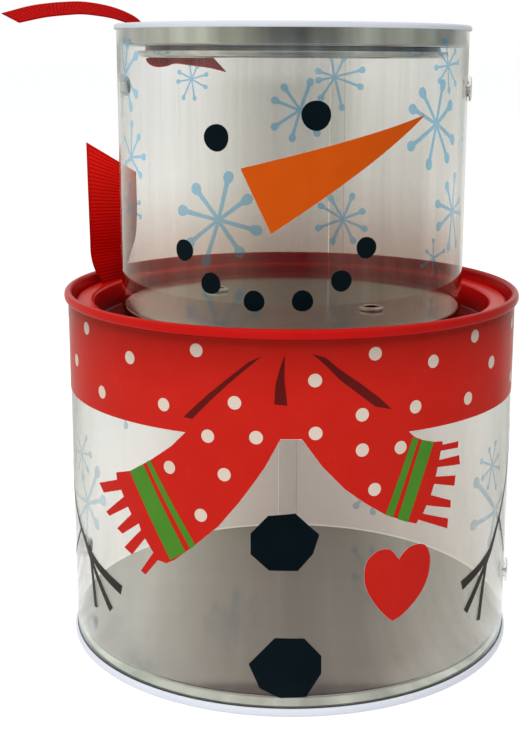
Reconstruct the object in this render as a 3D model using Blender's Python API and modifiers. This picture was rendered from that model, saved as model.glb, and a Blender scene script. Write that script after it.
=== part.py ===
"""Two stacked clear tins with tinplate ends.

The body tin stands on its curled foot. The head tin stands in the deep well of the body
tin's lid, and each lid has a ribbon to pull it by. Metres, +Z up, resting plane at z = 0.
The origin is the middle of the object's footprint. The tins' common axis lies AXIS_X beside
it, because the upper ribbon sticks out to the left.
"""
import math
from typing import NamedTuple

import bmesh
import bpy
from mathutils import Matrix, Vector

MM = 0.001

# Sheet, wall and fits, shared by both tins
SHEET = 0.4 * MM
TUBE_WALL = 0.5 * MM
FIT = 0.3 * MM
CUT_OVERRUN = 1.5 * MM
MERGE = 0.01 * MM
TURN_STEPS = 36
BEND_STEPS = 2
BEAD_STEPS = 4

# Base ends: a raised floor, a skirt and a curl under the tube's edge
FLOOR_RISE = 5.5 * MM
FLOOR_BEND_RADIUS = 0.7 * MM
FOOT_BEAD_HEIGHT = 2.3 * MM
FOOT_BEAD_STANDOFF = 0.4 * MM
FOOT_BEND_RADIUS = 0.5 * MM

# Rings: a bead over the tube's edge, a skirt, a shelf and a curled opening
SHELF_DROP = 6.0 * MM
SHELF_BEND_RADIUS = 0.8 * MM
OPENING_BEND_RADIUS = 0.5 * MM
OPENING_DEPTH = 3.1 * MM
OPENING_CURL_RADIUS = 1.0 * MM
OPENING_CURL_RETURN = 0.6 * MM

# Lids: a turned-down edge that sits on the shelf, a flange and a well
FLANGE_DROP = 3.0 * MM
LID_EDGE_GAP = 1.0 * MM
LID_BEND_RADIUS = 0.6 * MM
WELL_BEND_RADIUS = 0.8 * MM

# Head tin
UPPER_TUBE_RADIUS = 50.0 * MM
UPPER_HEIGHT = 85.0 * MM
UPPER_BEAD_HEIGHT = 1.9 * MM
UPPER_BEAD_STANDOFF = 0.3 * MM
UPPER_FLANGE_WIDTH = 6.9 * MM
UPPER_WELL_DEPTH = 8.3 * MM
UPPER_EYELET_DROP = 17.4 * MM

# Body tin, which is as wide as its well and flange need
WELL_CLEARANCE = 7.2 * MM
LOWER_HEIGHT = 104.7 * MM
LOWER_BEAD_HEIGHT = 2.8 * MM
LOWER_BEAD_STANDOFF = 0.8 * MM
LOWER_FLANGE_WIDTH = 5.2 * MM
LOWER_WELL_DEPTH = 10.5 * MM
LOWER_EYELET_RISE = 18.7 * MM

# Eyelets
EYELET_BARREL_RADIUS = 2.3 * MM
EYELET_WALL = 0.5 * MM
EYELET_FLANGE_WIDTH = 1.3 * MM
EYELET_SET_LAP = 0.2 * MM
EYELET_EDGE = 0.3 * MM
EYELET_CROWN = 0.5 * MM
EYELET_STEPS = 12
EYELET_TURN = math.radians(-7.7)
FLOOR_EYELET_REACH = 27.3 * MM
FLOOR_EYELET_TURN = math.radians(-33.0)

# Ribbons and their slots
RIBBON_WIDTH = 16.0 * MM
RIBBON_THICKNESS = 0.5 * MM
RIBBON_STEPS = 3
SLOT_CLEARANCE = 0.3 * MM
LOWER_SLOT_SHARE = 0.56
LOWER_SLOT_TURN = math.radians(158.0)
GATHER_SHARE = 0.72
HEM_SHARE = 0.68
HEM_HEIGHT = 1.2 * MM
HEM_THICKNESS = 2.0 * MM
UPPER_SLOT_INSET = 7.9 * MM
KNOT_SINK = 0.6 * MM

# The lower ribbon's edges above the flange, from the middle of its slot, as shares of its
# width: to the right, back and up
LOWER_RIBBON_LEFT_SHARES = (
    (-0.28, -0.30, 0.26),
    (-0.38, -0.14, 0.52),
    (-0.39, -0.09, 0.83),
    (-0.41, -0.05, 1.27),
    (-0.43, 0.01, 1.89),
    (-0.44, 0.04, 2.69),
)
LOWER_RIBBON_RIGHT_SHARES = (
    (0.24, 0.45, 0.26),
    (0.32, 0.51, 0.52),
    (0.42, 0.51, 0.83),
    (0.46, 0.48, 1.27),
    (0.46, 0.44, 1.70),
    (0.46, 0.42, 2.09),
)

# The upper ribbon's edges above the well's floor: to the left, as shares of the way from the
# slot to the bead, and up, as shares of the well's depth
UPPER_RIBBON_FAR_SHARES = (
    (0.06, 0.30),
    (0.30, 0.72),
    (0.54, 0.98),
    (0.71, 1.29),
    (0.98, 1.56),
    (1.30, 1.73),
    (1.66, 1.79),
    (2.26, 1.66),
    (2.92, 1.37),
)
UPPER_RIBBON_NEAR_SHARES = (
    (0.06, 0.33),
    (0.32, 0.78),
    (0.70, 1.02),
    (0.94, 1.18),
    (1.16, 1.27),
    (1.39, 1.31),
    (1.61, 1.29),
    (1.96, 1.20),
    (2.35, 1.02),
)

# The folded end under the upper lid, as shares of the ribbon's width: to the left of the
# slot, its top and its bottom below the lid, and its half width
KNOT_SHARES = (
    (0.41, 0.02, 0.04, 0.25),
    (0.34, 0.00, 0.12, 0.34),
    (0.19, 0.00, 0.15, 0.38),
    (0.03, 0.00, 0.14, 0.38),
    (-0.16, 0.00, 0.10, 0.38),
    (-0.37, 0.00, 0.13, 0.38),
    (-0.56, 0.00, 0.16, 0.38),
    (-0.69, 0.04, 0.13, 0.31),
    (-0.90, 0.18, 0.22, 0.19),
)

# Sizes that follow from the values above
EYELET_BORE_RADIUS = EYELET_BARREL_RADIUS - EYELET_WALL
EYELET_HOLE_RADIUS = EYELET_BARREL_RADIUS + FIT
EYELET_FLANGE_RADIUS = EYELET_BARREL_RADIUS + EYELET_FLANGE_WIDTH
EYELET_SET_RADIUS = EYELET_HOLE_RADIUS + EYELET_SET_LAP
LID_EDGE_INSET = TUBE_WALL + FIT + SHEET + LID_EDGE_GAP
UPPER_WELL_RADIUS = UPPER_TUBE_RADIUS - LID_EDGE_INSET - UPPER_FLANGE_WIDTH
LOWER_WELL_RADIUS = UPPER_TUBE_RADIUS + FOOT_BEAD_STANDOFF + SHEET + WELL_CLEARANCE
LOWER_TUBE_RADIUS = LOWER_WELL_RADIUS + LOWER_FLANGE_WIDTH + LID_EDGE_INSET
LOWER_SLOT_REACH = LOWER_WELL_RADIUS + LOWER_FLANGE_WIDTH * LOWER_SLOT_SHARE
UPPER_SLOT_REACH = UPPER_WELL_RADIUS - UPPER_SLOT_INSET
UPPER_FOOT = LOWER_HEIGHT - LOWER_WELL_DEPTH + FIT
RIM_REACH = UPPER_TUBE_RADIUS + UPPER_BEAD_STANDOFF + SHEET - UPPER_SLOT_REACH
LEFT_END = -UPPER_SLOT_REACH - RIM_REACH * UPPER_RIBBON_FAR_SHARES[-1][0]
RIGHT_END = LOWER_TUBE_RADIUS + LOWER_BEAD_STANDOFF + SHEET
AXIS_X = -(LEFT_END + RIGHT_END) / 2

# Colour, roughness and metallic value of each material
FINISHES = {
    "clear_plastic": ((0.86, 0.87, 0.86, 1.0), 0.08, 0.0),
    "tinplate": ((0.62, 0.61, 0.57, 1.0), 0.28, 1.0),
    "red_enamel": ((0.56, 0.02, 0.015, 1.0), 0.25, 0.0),
    "ribbon_cloth": ((0.48, 0.008, 0.008, 1.0), 0.8, 0.0),
    "eyelet_metal": ((0.75, 0.73, 0.68, 1.0), 0.2, 1.0),
}


class Tin(NamedTuple):
    """One tin's sizes, measured from its own resting plane."""
    name: str
    tube_radius: float
    height: float
    bead_height: float
    bead_standoff: float
    well_radius: float
    well_depth: float
    eyelet_height: float
    end_finish: str


LOWER = Tin("lower", LOWER_TUBE_RADIUS, LOWER_HEIGHT, LOWER_BEAD_HEIGHT, LOWER_BEAD_STANDOFF,
            LOWER_WELL_RADIUS, LOWER_WELL_DEPTH, LOWER_EYELET_RISE, "red_enamel")
UPPER = Tin("upper", UPPER_TUBE_RADIUS, UPPER_HEIGHT, UPPER_BEAD_HEIGHT, UPPER_BEAD_STANDOFF,
            UPPER_WELL_RADIUS, UPPER_WELL_DEPTH, UPPER_HEIGHT - UPPER_EYELET_DROP, "tinplate")


def clear_scene():
    for old in list(bpy.data.objects):
        bpy.data.objects.remove(old, do_unlink=True)


def make_collection(name):
    group = bpy.data.collections.new(name)
    bpy.context.scene.collection.children.link(group)
    return group


def make_material(name):
    colour, roughness, metallic = FINISHES[name]
    material = bpy.data.materials.new(name)
    material.use_nodes = True
    shader = material.node_tree.nodes["Principled BSDF"]
    shader.inputs["Base Color"].default_value = colour
    shader.inputs["Roughness"].default_value = roughness
    shader.inputs["Metallic"].default_value = metallic
    material.diffuse_color = colour
    return material


class Workshop:
    """The collections, materials and parents that the pieces go into."""

    def __init__(self):
        self.parts = make_collection("stacking_tin")
        self.cutters = make_collection("cutters")
        self.finish = {name: make_material(name) for name in FINISHES}

    def pivot(self, name, parent, height):
        empty = bpy.data.objects.new(name, None)
        self.parts.objects.link(empty)
        empty.parent = parent
        empty.location.z = height
        return empty

    def add(self, piece, finish, parent, matrix=None):
        self.parts.objects.link(piece)
        piece.data.materials.append(self.finish[finish])
        piece.parent = parent
        if matrix:
            piece.matrix_local = matrix
        if piece.data.polygons:
            piece.data.shade_smooth()
            piece.data.set_sharp_from_angle(angle=math.radians(35))
        return piece

    def add_cutter(self, cutter, name, parent, matrix=None):
        for owner in list(cutter.users_collection):
            owner.objects.unlink(cutter)
        self.cutters.objects.link(cutter)
        cutter.name = name
        cutter.parent = parent
        cutter.hide_render = True
        cutter.display_type = "WIRE"
        if matrix:
            cutter.matrix_local = matrix
        return cutter


def combine(piece, cutter, operation):
    boolean = piece.modifiers.new(cutter.name, "BOOLEAN")
    boolean.operation = operation
    boolean.solver = "EXACT"
    boolean.object = cutter


def arc(centre, radius, start, end, steps):
    """Points of a bend in the (radius, height) plane, between two angles in degrees."""
    points = []
    for step in range(steps + 1):
        angle = math.radians(start + (end - start) * step / steps)
        points.append((centre[0] + radius * math.cos(angle), centre[1] + radius * math.sin(angle)))
    return points


def sheet_outline(path):
    """Closed outline of a sheet of tinplate whose middle follows the path."""
    left, right = [], []
    steepest = math.cos(math.radians(60))
    for index, point in enumerate(path):
        here = Vector(point)
        before = here - Vector(path[index - 1]) if index else Vector(path[1]) - here
        after = Vector(path[index + 1]) - here if index + 1 < len(path) else before
        across = (before.normalized() + after.normalized()).orthogonal().normalized()
        reach = SHEET / 2 / max(across.dot(after.orthogonal().normalized()), steepest)
        left.append(tuple(here + across * reach))
        right.append(tuple(here - across * reach))
    return left + right[::-1]


def signed_area(outline):
    total = 0.0
    for (x0, y0), (x1, y1) in zip(outline, outline[1:] + outline[:1]):
        total += x0 * y1 - x1 * y0
    return total / 2


def turned(name, outline, steps=TURN_STEPS):
    """Solid of revolution about +Z of a closed outline in the (radius, height) plane."""
    if signed_area(outline) > 0:
        outline = outline[::-1]
    mesh = bpy.data.meshes.new(name)
    body = bmesh.new()
    profile = [body.verts.new((radius, 0.0, height)) for radius, height in outline]
    for start, end in zip(profile, profile[1:] + profile[:1]):
        on_axis = start.co.x < MERGE and end.co.x < MERGE
        if not on_axis:
            body.edges.new((start, end))
    body.to_mesh(mesh)
    body.free()
    piece = bpy.data.objects.new(name, mesh)
    screw = piece.modifiers.new("turn", "SCREW")
    screw.axis = "Z"
    screw.angle = math.tau
    screw.steps = steps
    screw.render_steps = steps
    screw.use_merge_vertices = True
    screw.merge_threshold = MERGE
    screw.use_smooth_shade = True
    return piece


def skirt_radius(tube_radius):
    """Middle of the sheet that lies just inside the tube."""
    return tube_radius - TUBE_WALL - FIT - SHEET / 2


def bead_bend(tin):
    """Bend radius of the bead that goes over the tube's upper edge."""
    return (tin.bead_standoff + TUBE_WALL + FIT + SHEET) / 2


def tube(tin):
    """Clear wall, from inside the foot's curl to inside the bead."""
    inner = tin.tube_radius - TUBE_WALL
    bottom = SHEET + FIT
    top = tin.height - SHEET / 2 - bead_bend(tin)
    outline = [(inner, bottom), (inner, top), (tin.tube_radius, top), (tin.tube_radius, bottom)]
    return turned(f"{tin.name}_tube", outline)


def base_end(tin):
    skirt = skirt_radius(tin.tube_radius)
    lip = tin.tube_radius + FOOT_BEAD_STANDOFF + SHEET / 2
    floor = FLOOR_RISE - SHEET / 2
    shoulder = FLOOR_BEND_RADIUS
    bend = FOOT_BEND_RADIUS
    seat = SHEET / 2 + bend
    path = [(0.0, floor)]
    path += arc((skirt - shoulder, floor - shoulder), shoulder, 90, 0, BEND_STEPS)
    path += arc((skirt + bend, seat), bend, 180, 270, BEND_STEPS)
    path += arc((lip - bend, seat), bend, 270, 360, BEND_STEPS)
    path += [(lip, FOOT_BEAD_HEIGHT)]
    return turned(f"{tin.name}_base", sheet_outline(path))


def rim_ring(tin):
    skirt = skirt_radius(tin.tube_radius)
    lip = tin.tube_radius + tin.bead_standoff + SHEET / 2
    bead = bead_bend(tin)
    shelf = tin.height - SHELF_DROP + SHEET / 2
    shoulder = SHELF_BEND_RADIUS
    opening = tin.well_radius + SHEET + FIT + SHEET / 2
    corner = OPENING_BEND_RADIUS
    curl = OPENING_CURL_RADIUS
    curl_height = tin.height - SHELF_DROP - OPENING_DEPTH + SHEET / 2 + curl
    path = [(lip, tin.height - tin.bead_height)]
    path += arc((skirt + bead, tin.height - SHEET / 2 - bead), bead, 0, 180, BEAD_STEPS)
    path += arc((skirt - shoulder, shelf + shoulder), shoulder, 0, -90, BEND_STEPS)
    path += arc((opening + corner, shelf - corner), corner, 90, 180, BEND_STEPS)
    path += arc((opening + curl, curl_height), curl, 180, 360, BEAD_STEPS)
    path += [(opening + 2 * curl, curl_height + OPENING_CURL_RETURN)]
    return turned(f"{tin.name}_rim", sheet_outline(path))


def lid(tin):
    """Lid in its pivot's frame, whose height is that of the bead's top."""
    edge = tin.tube_radius - LID_EDGE_INSET - SHEET / 2
    flange = -FLANGE_DROP - SHEET / 2
    wall = tin.well_radius + SHEET / 2
    floor = -tin.well_depth - SHEET / 2
    corner = LID_BEND_RADIUS
    bend = WELL_BEND_RADIUS
    path = [(edge, SHEET + FIT - SHELF_DROP)]
    path += arc((edge - corner, flange - corner), corner, 0, 90, BEND_STEPS)
    path += arc((wall + bend, flange - bend), bend, 90, 180, BEND_STEPS)
    path += arc((wall - bend, floor + bend), bend, 0, -90, BEND_STEPS)
    path += [(0.0, floor)]
    return turned(f"{tin.name}_lid", sheet_outline(path))


def rolled_edge(inner, outer, height, rise):
    """Half-round roll from the inner to the outer radius, rising or hanging by rise."""
    middle, half = (inner + outer) / 2, (outer - inner) / 2
    points = []
    for step in range(BEAD_STEPS + 1):
        angle = math.pi * step / BEAD_STEPS
        points.append((middle - half * math.cos(angle), height + rise * math.sin(angle)))
    return points


def eyelet(name, grip):
    """Eyelet about +Z: rolled flange above z = 0 and a rolled set end a grip below it."""
    crown = rolled_edge(EYELET_BORE_RADIUS, EYELET_FLANGE_RADIUS, FIT + EYELET_EDGE, EYELET_CROWN)
    set_end = rolled_edge(EYELET_BORE_RADIUS, EYELET_SET_RADIUS, -grip - EYELET_EDGE, -EYELET_CROWN)
    shank = [
        (EYELET_FLANGE_RADIUS, FIT),
        (EYELET_BARREL_RADIUS, FIT),
        (EYELET_BARREL_RADIUS, -grip),
        (EYELET_SET_RADIUS, -grip),
    ]
    return turned(name, crown + shank + set_end[::-1], EYELET_STEPS)


def side_matrix(turn, radius, height):
    """Points +Z outward, square to the tube, at this turn and height."""
    spot = Vector((radius * math.cos(turn), radius * math.sin(turn), height))
    outward = Matrix.Rotation(turn, 4, "Z") @ Matrix.Rotation(math.pi / 2, 4, "Y")
    return Matrix.Translation(spot) @ outward


def inner_seat(tube_radius):
    """From the tube's outer face in to where an eyelet's set end meets the inner face."""
    facet = math.cos(math.pi / TURN_STEPS)
    inner = (tube_radius - TUBE_WALL) * facet
    return tube_radius - math.sqrt(inner ** 2 - EYELET_SET_RADIUS ** 2) + FIT


def drill(shop, piece, name, wall, matrix, parent):
    """Eyelet hole about the matrix's +Z, through a wall at its origin."""
    depth = 2 * (wall + CUT_OVERRUN)
    bpy.ops.mesh.primitive_cylinder_add(vertices=EYELET_STEPS, radius=EYELET_HOLE_RADIUS, depth=depth)
    combine(piece, shop.add_cutter(bpy.context.active_object, name, parent, matrix), "DIFFERENCE")


def block(shop, name, size, matrix, parent):
    bpy.ops.mesh.primitive_cube_add(size=1.0)
    cube = bpy.context.active_object
    cube.data.transform(Matrix.Diagonal((*size, 1.0)))
    return shop.add_cutter(cube, name, parent, matrix)


def smooth_points(points, steps):
    """Points along a smooth curve that passes through the given ones."""
    padded = [points[0] * 2 - points[1]] + points + [points[-1] * 2 - points[-2]]
    smooth = []
    for index in range(1, len(padded) - 2):
        p0, p1, p2, p3 = padded[index - 1:index + 3]
        for step in range(steps):
            t = step / steps
            square = (p0 * 2 - p1 * 5 + p2 * 4 - p3) * t ** 2
            cube = (p1 * 3 - p0 - p2 * 3 + p3) * t ** 3
            smooth.append((p1 * 2 + (p2 - p0) * t + square + cube) / 2)
    return smooth + [points[-1]]


def loft(name, sections):
    """Closed solid over a row of four-cornered sections."""
    mesh = bpy.data.meshes.new(name)
    body = bmesh.new()
    rings = [[body.verts.new(corner) for corner in section] for section in sections]
    for start, end in zip(rings, rings[1:]):
        for corner in range(4):
            after = (corner + 1) % 4
            body.faces.new((start[corner], start[after], end[after], end[corner]))
    body.faces.new(rings[0][::-1])
    body.faces.new(rings[-1])
    bmesh.ops.recalc_face_normals(body, faces=body.faces)
    body.to_mesh(mesh)
    body.free()
    return bpy.data.objects.new(name, mesh)


def ribbon_band(name, lefts, rights):
    """Ribbon between two edge lines, its thickness across its flat side."""
    sections = []
    for index, (left, right) in enumerate(zip(lefts, rights)):
        low, high = max(index - 1, 0), min(index + 1, len(lefts) - 1)
        along = lefts[high] + rights[high] - lefts[low] - rights[low]
        flat = along.cross(right - left).normalized() * RIBBON_THICKNESS / 2
        sections.append((left - flat, right - flat, right + flat, left + flat))
    return loft(name, sections)


def lower_slot_matrix(height):
    """Middle of the flange's slot, with +X outward and +Y along the slot."""
    spot = Matrix.Rotation(LOWER_SLOT_TURN, 4, "Z") @ Vector((LOWER_SLOT_REACH, 0.0, 0.0))
    spot.z = height
    return Matrix.Translation(spot) @ Matrix.Rotation(LOWER_SLOT_TURN, 4, "Z")


def lower_ribbon_line(half, shares):
    """One edge, from the hem up through the slot and on to the cut end."""
    flange = lower_slot_matrix(-FLANGE_DROP)
    hem_middle = -SHEET - FIT - HEM_HEIGHT / 2
    line = [flange @ Vector((0.0, half, hem_middle)), flange @ Vector((0.0, half, SHEET))]
    line += [flange.translation + Vector(share) * RIBBON_WIDTH for share in shares]
    return smooth_points(line, RIBBON_STEPS)


def upper_ribbon_line(half, shares):
    """One edge, from the folded end up through the slot, over the rim and to the cut end."""
    floor = -UPPER_WELL_DEPTH
    knot_top = floor - SHEET - FIT
    line = [
        Vector((-UPPER_SLOT_REACH, half, knot_top - KNOT_SINK)),
        Vector((-UPPER_SLOT_REACH, half, floor + SHEET)),
    ]
    for reach, rise in shares:
        x = -UPPER_SLOT_REACH - reach * RIM_REACH
        line.append(Vector((x, half, floor + rise * UPPER_WELL_DEPTH)))
    return smooth_points(line, RIBBON_STEPS)


def folded_end():
    """The ribbon's end, folded into a pad under the upper lid."""
    top_face = -UPPER_WELL_DEPTH - SHEET - FIT
    sections = []
    for reach, top, bottom, half in KNOT_SHARES:
        x = -UPPER_SLOT_REACH - reach * RIBBON_WIDTH
        high, low = top_face - top * RIBBON_WIDTH, top_face - bottom * RIBBON_WIDTH
        side = half * RIBBON_WIDTH
        sections.append(((x, -side, low), (x, side, low), (x, side, high), (x, -side, high)))
    return loft("upper_knot", sections)


def slot_size(ribbon_width):
    return (RIBBON_THICKNESS + 2 * SLOT_CLEARANCE, ribbon_width + 2 * SLOT_CLEARANCE,
            2 * (SHEET + CUT_OVERRUN))


def build_tin(shop, tin, parent):
    """Tube, both fixed ends and the two side eyelets. Gives back the base end."""
    wall = shop.add(tube(tin), "clear_plastic", parent)
    base = shop.add(base_end(tin), "tinplate", parent)
    shop.add(rim_ring(tin), tin.end_finish, parent)
    for side, turn in (("right", EYELET_TURN), ("left", EYELET_TURN + math.pi)):
        matrix = side_matrix(turn, tin.tube_radius, tin.eyelet_height)
        drill(shop, wall, f"{tin.name}_hole_{side}", TUBE_WALL, matrix, parent)
        fitting = eyelet(f"{tin.name}_eyelet_{side}", inner_seat(tin.tube_radius))
        shop.add(fitting, "eyelet_metal", parent, matrix)
    return base


def build_floor_eyelets(shop, base, parent):
    for side, turn in (("right", FLOOR_EYELET_TURN), ("left", FLOOR_EYELET_TURN + math.pi)):
        spot = Matrix.Rotation(turn, 4, "Z") @ Vector((FLOOR_EYELET_REACH, 0.0, FLOOR_RISE))
        matrix = Matrix.Translation(spot)
        drill(shop, base, f"floor_hole_{side}", SHEET, matrix, parent)
        shop.add(eyelet(f"floor_eyelet_{side}", SHEET + FIT), "eyelet_metal", parent, matrix)


def build_lower_lid(shop, parent):
    plate = shop.add(lid(LOWER), LOWER.end_finish, parent)
    gathered = RIBBON_WIDTH * GATHER_SHARE
    slot = block(shop, "lower_slot", slot_size(gathered), lower_slot_matrix(-FLANGE_DROP), parent)
    combine(plate, slot, "DIFFERENCE")

    left = lower_ribbon_line(gathered / 2, LOWER_RIBBON_LEFT_SHARES)
    right = lower_ribbon_line(-gathered / 2, LOWER_RIBBON_RIGHT_SHARES)
    ribbon = shop.add(ribbon_band("lower_ribbon", left, right), "ribbon_cloth", parent)
    hem_size = (HEM_THICKNESS, RIBBON_WIDTH * HEM_SHARE, HEM_HEIGHT)
    hem_matrix = lower_slot_matrix(-FLANGE_DROP - SHEET - FIT - HEM_HEIGHT / 2)
    combine(ribbon, block(shop, "lower_hem", hem_size, hem_matrix, parent), "UNION")


def build_upper_lid(shop, parent):
    plate = shop.add(lid(UPPER), UPPER.end_finish, parent)
    spot = Matrix.Translation(Vector((-UPPER_SLOT_REACH, 0.0, -UPPER_WELL_DEPTH)))
    slot = block(shop, "upper_slot", slot_size(RIBBON_WIDTH), spot, parent)
    combine(plate, slot, "DIFFERENCE")

    near = upper_ribbon_line(-RIBBON_WIDTH / 2, UPPER_RIBBON_NEAR_SHARES)
    far = upper_ribbon_line(RIBBON_WIDTH / 2, UPPER_RIBBON_FAR_SHARES)
    ribbon = shop.add(ribbon_band("upper_ribbon", near, far), "ribbon_cloth", parent)
    combine(ribbon, shop.add_cutter(folded_end(), "upper_knot", parent), "UNION")


def build():
    clear_scene()
    shop = Workshop()
    axis = shop.pivot("tin_axis", None, 0.0)
    axis.location.x = AXIS_X
    lower_lid_lift = shop.pivot("lower_lid_lift", axis, LOWER_HEIGHT)
    head_lift = shop.pivot("head_lift", lower_lid_lift, UPPER_FOOT - LOWER_HEIGHT)
    upper_lid_lift = shop.pivot("upper_lid_lift", head_lift, UPPER_HEIGHT)

    build_tin(shop, LOWER, axis)
    head_base = build_tin(shop, UPPER, head_lift)
    build_floor_eyelets(shop, head_base, head_lift)
    build_lower_lid(shop, lower_lid_lift)
    build_upper_lid(shop, upper_lid_lift)
    bpy.context.view_layer.update()


build()
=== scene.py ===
"""Looks of two stacked clear tins: turned sheet metal, rolled film, printed inks and ribbons.

Metres, +Z up. Every piece is placed on the tins' common vertical axis. The tins' outer sizes
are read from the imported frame, and the sheet's own sizes are named here. Places of the print
are pixels of the 520 x 741 photograph, which a camera like the photograph's turns into places
on the tubes, or degrees round the tube and heights where the print runs out of sight.
"""
import math
from typing import NamedTuple

import bmesh
import bpy
from mathutils import Matrix, Vector, geometry


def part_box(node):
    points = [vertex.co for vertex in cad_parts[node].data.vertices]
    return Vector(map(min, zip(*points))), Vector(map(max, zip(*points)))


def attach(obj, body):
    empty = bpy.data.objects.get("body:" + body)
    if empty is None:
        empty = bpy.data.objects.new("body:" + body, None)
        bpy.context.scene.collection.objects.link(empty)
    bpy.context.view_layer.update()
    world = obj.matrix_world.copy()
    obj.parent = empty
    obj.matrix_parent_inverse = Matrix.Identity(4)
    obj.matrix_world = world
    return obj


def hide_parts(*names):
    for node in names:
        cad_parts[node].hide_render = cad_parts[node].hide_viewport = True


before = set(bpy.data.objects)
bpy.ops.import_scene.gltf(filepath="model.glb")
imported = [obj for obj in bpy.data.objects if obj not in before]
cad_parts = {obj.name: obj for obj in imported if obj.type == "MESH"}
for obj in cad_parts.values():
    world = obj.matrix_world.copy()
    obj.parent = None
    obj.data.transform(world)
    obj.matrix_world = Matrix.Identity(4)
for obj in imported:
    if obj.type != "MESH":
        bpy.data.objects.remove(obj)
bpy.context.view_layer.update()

MM = 0.001

# Sheet metal, film and fits
SHEET = 0.4 * MM
TUBE_WALL = 0.5 * MM
FILM = 0.24 * MM
FILM_GAP = 0.02 * MM
FILM_LAP, FILM_EASE = math.radians(6), math.radians(4)
SEAM_TURN = {"lower": math.radians(181), "upper": math.radians(163)}
SEAM_EDGE = 0.3 * MM
FIT = 0.3 * MM
TURN_STEPS = 180
ARC_STEPS = 8
TINY = 0.001 * MM
# A cutter's length, in thicknesses of what it cuts
CUT_DEPTH = 8

# Base ends
FLOOR_RISE = 5.5 * MM
FLOOR_BEND = 0.5 * MM
FOOT_BEND = 0.5 * MM
FOOT_BEAD_HEIGHT = 2.3 * MM
FOOT_CROWN_BEND = 0.7 * MM
SKIRT_FIT = 0.1 * MM
# Rings in a flat floor, as shares of its radius
FLOOR_RINGS = (0, 0.4, 0.8)
CURL_GAP = 0.06 * MM

# Rings and lids
SHELF_DROP = 6 * MM
SHELF_BEND = 0.8 * MM
OPENING_BEND = 0.5 * MM
OPENING_DEPTH = 3.1 * MM
OPENING_CURL = 1 * MM
CURL_RETURN = 0.6 * MM
FLANGE_DROP = 3 * MM
LID_EDGE_INSET = TUBE_WALL + FIT + SHEET + 1 * MM
LID_BEND = 0.6 * MM
WELL_BEND = 0.8 * MM

# Eyelets
BORE_RADIUS = 1.8 * MM
BARREL_RADIUS = 2.3 * MM
HOLE_RADIUS = 2.6 * MM
EYELET_RADIUS = 3.6 * MM
SET_RADIUS = 2.8 * MM
EYELET_EDGE = 0.3 * MM
EYELET_CROWN = 0.5 * MM
EYELET_STEPS = 48
EYELET_TURN = math.radians(-7.7)
FLOOR_EYELET_REACH = 27.3 * MM
FLOOR_EYELET_TURN = math.radians(-33)
SIDES = (("right", 0), ("left", math.pi))

# Ribbons
RIBBON_WIDTH = 16 * MM
RIBBON_THICKNESS = 0.5 * MM
RIB_PITCH = 1 * MM
RIB_DEPTH = 0.11 * MM
RIB_POINTS = 6
RIB_ROUNDNESS = 0.7
SELVEDGE_RIB = 0.35
WARP_PITCH = 0.32 * MM
RIBBON_COLUMNS = 16
RIBBON_STEPS, FOLD_STEPS = 8, 6
RIBBON_CREASE = 60
LOWER_SLOT_REACH = 60.912 * MM
LOWER_SLOT_TURN = Matrix.Rotation(math.radians(158), 4, "Z")
LOWER_SLOT_HALF = 5.76 * MM
LOWER_DIP = 0.35 * MM
HEM_DROP = 1.3 * MM
UPPER_SLOT_REACH = 33 * MM

# Print: each ink lies on the one before, and the snowflakes' lies inside the film
INK_LAYER = 0.05 * MM
INK_THICKNESS = 0.04 * MM
INSIDE_LAYER = -FILM / INK_LAYER - 0.2
# Layers outside the film, and how much higher the scarf's tails and each next twig lie
UNDER_LAYER, COLOUR_LAYER, OVER_LAYER, TAIL_LIFT, TWIG_LIFT = 1, 2, 3.2, 0.2, 0.15
UNDERPRINT = 0.03 * MM
# How far the scarf's tails reach over its band, the band's white under it, and both under the bead
TAIL_OVERLAP, WHITE_OVERLAP, BEAD_OVERLAP = 0.2 * MM, 0.1 * MM, 1 * MM

# The photograph's camera, from the tins' axis
PHOTO_WIDTH, PHOTO_HEIGHT = 520, 741
CAMERA_BACK = 382.62 * MM
CAMERA_UP = 170.92 * MM
CAMERA_PITCH = 0.2106
CAMERA_ROLL = 0.0051
FOCAL_PIXELS = 1306.80
CENTRE_X, CENTRE_Y = 291.41, 335.47
SENSOR_MM = 36
CLIP_START, CLIP_END = 0.01, 400


def middle_of(node):
    low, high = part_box(node)
    return (low + high) / 2


AXIS = middle_of("lower_base")
AXIS.z = 0.0


class Tin(NamedTuple):
    """One tin's sizes. Heights are measured from the resting plane of both."""
    name: str
    radius: float
    foot: float
    top: float
    bead_height: float
    bead_standoff: float
    foot_standoff: float
    well_radius: float
    well_floor: float
    body: str
    lid_body: str
    finish: str


def read_tin(name, bead_height, bead_standoff, well_radius, body, lid_body, finish):
    tube_low, tube_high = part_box(f"{name}_tube")
    base_low, base_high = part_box(f"{name}_base")
    radius = (tube_high.x - tube_low.x) / 2
    foot_standoff = (base_high.x - base_low.x) / 2 - radius - SHEET
    bend = (bead_standoff + TUBE_WALL + FIT + SHEET) / 2
    top = tube_high.z + SHEET / 2 + bend
    well_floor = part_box(f"{name}_lid")[0].z + SHEET
    return Tin(name, radius, base_low.z, top, bead_height, bead_standoff, foot_standoff,
               well_radius, well_floor, body, lid_body, finish)


LOWER = read_tin("lower", bead_height=2.8 * MM, bead_standoff=0.8 * MM, well_radius=58 * MM,
                 body="body_tin", lid_body="body_lid", finish="red_enamel")
UPPER = read_tin("upper", bead_height=1.9 * MM, bead_standoff=0.3 * MM, well_radius=40.9 * MM,
                 body="head_tin", lid_body="head_lid", finish="tinplate")


# Materials


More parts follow.
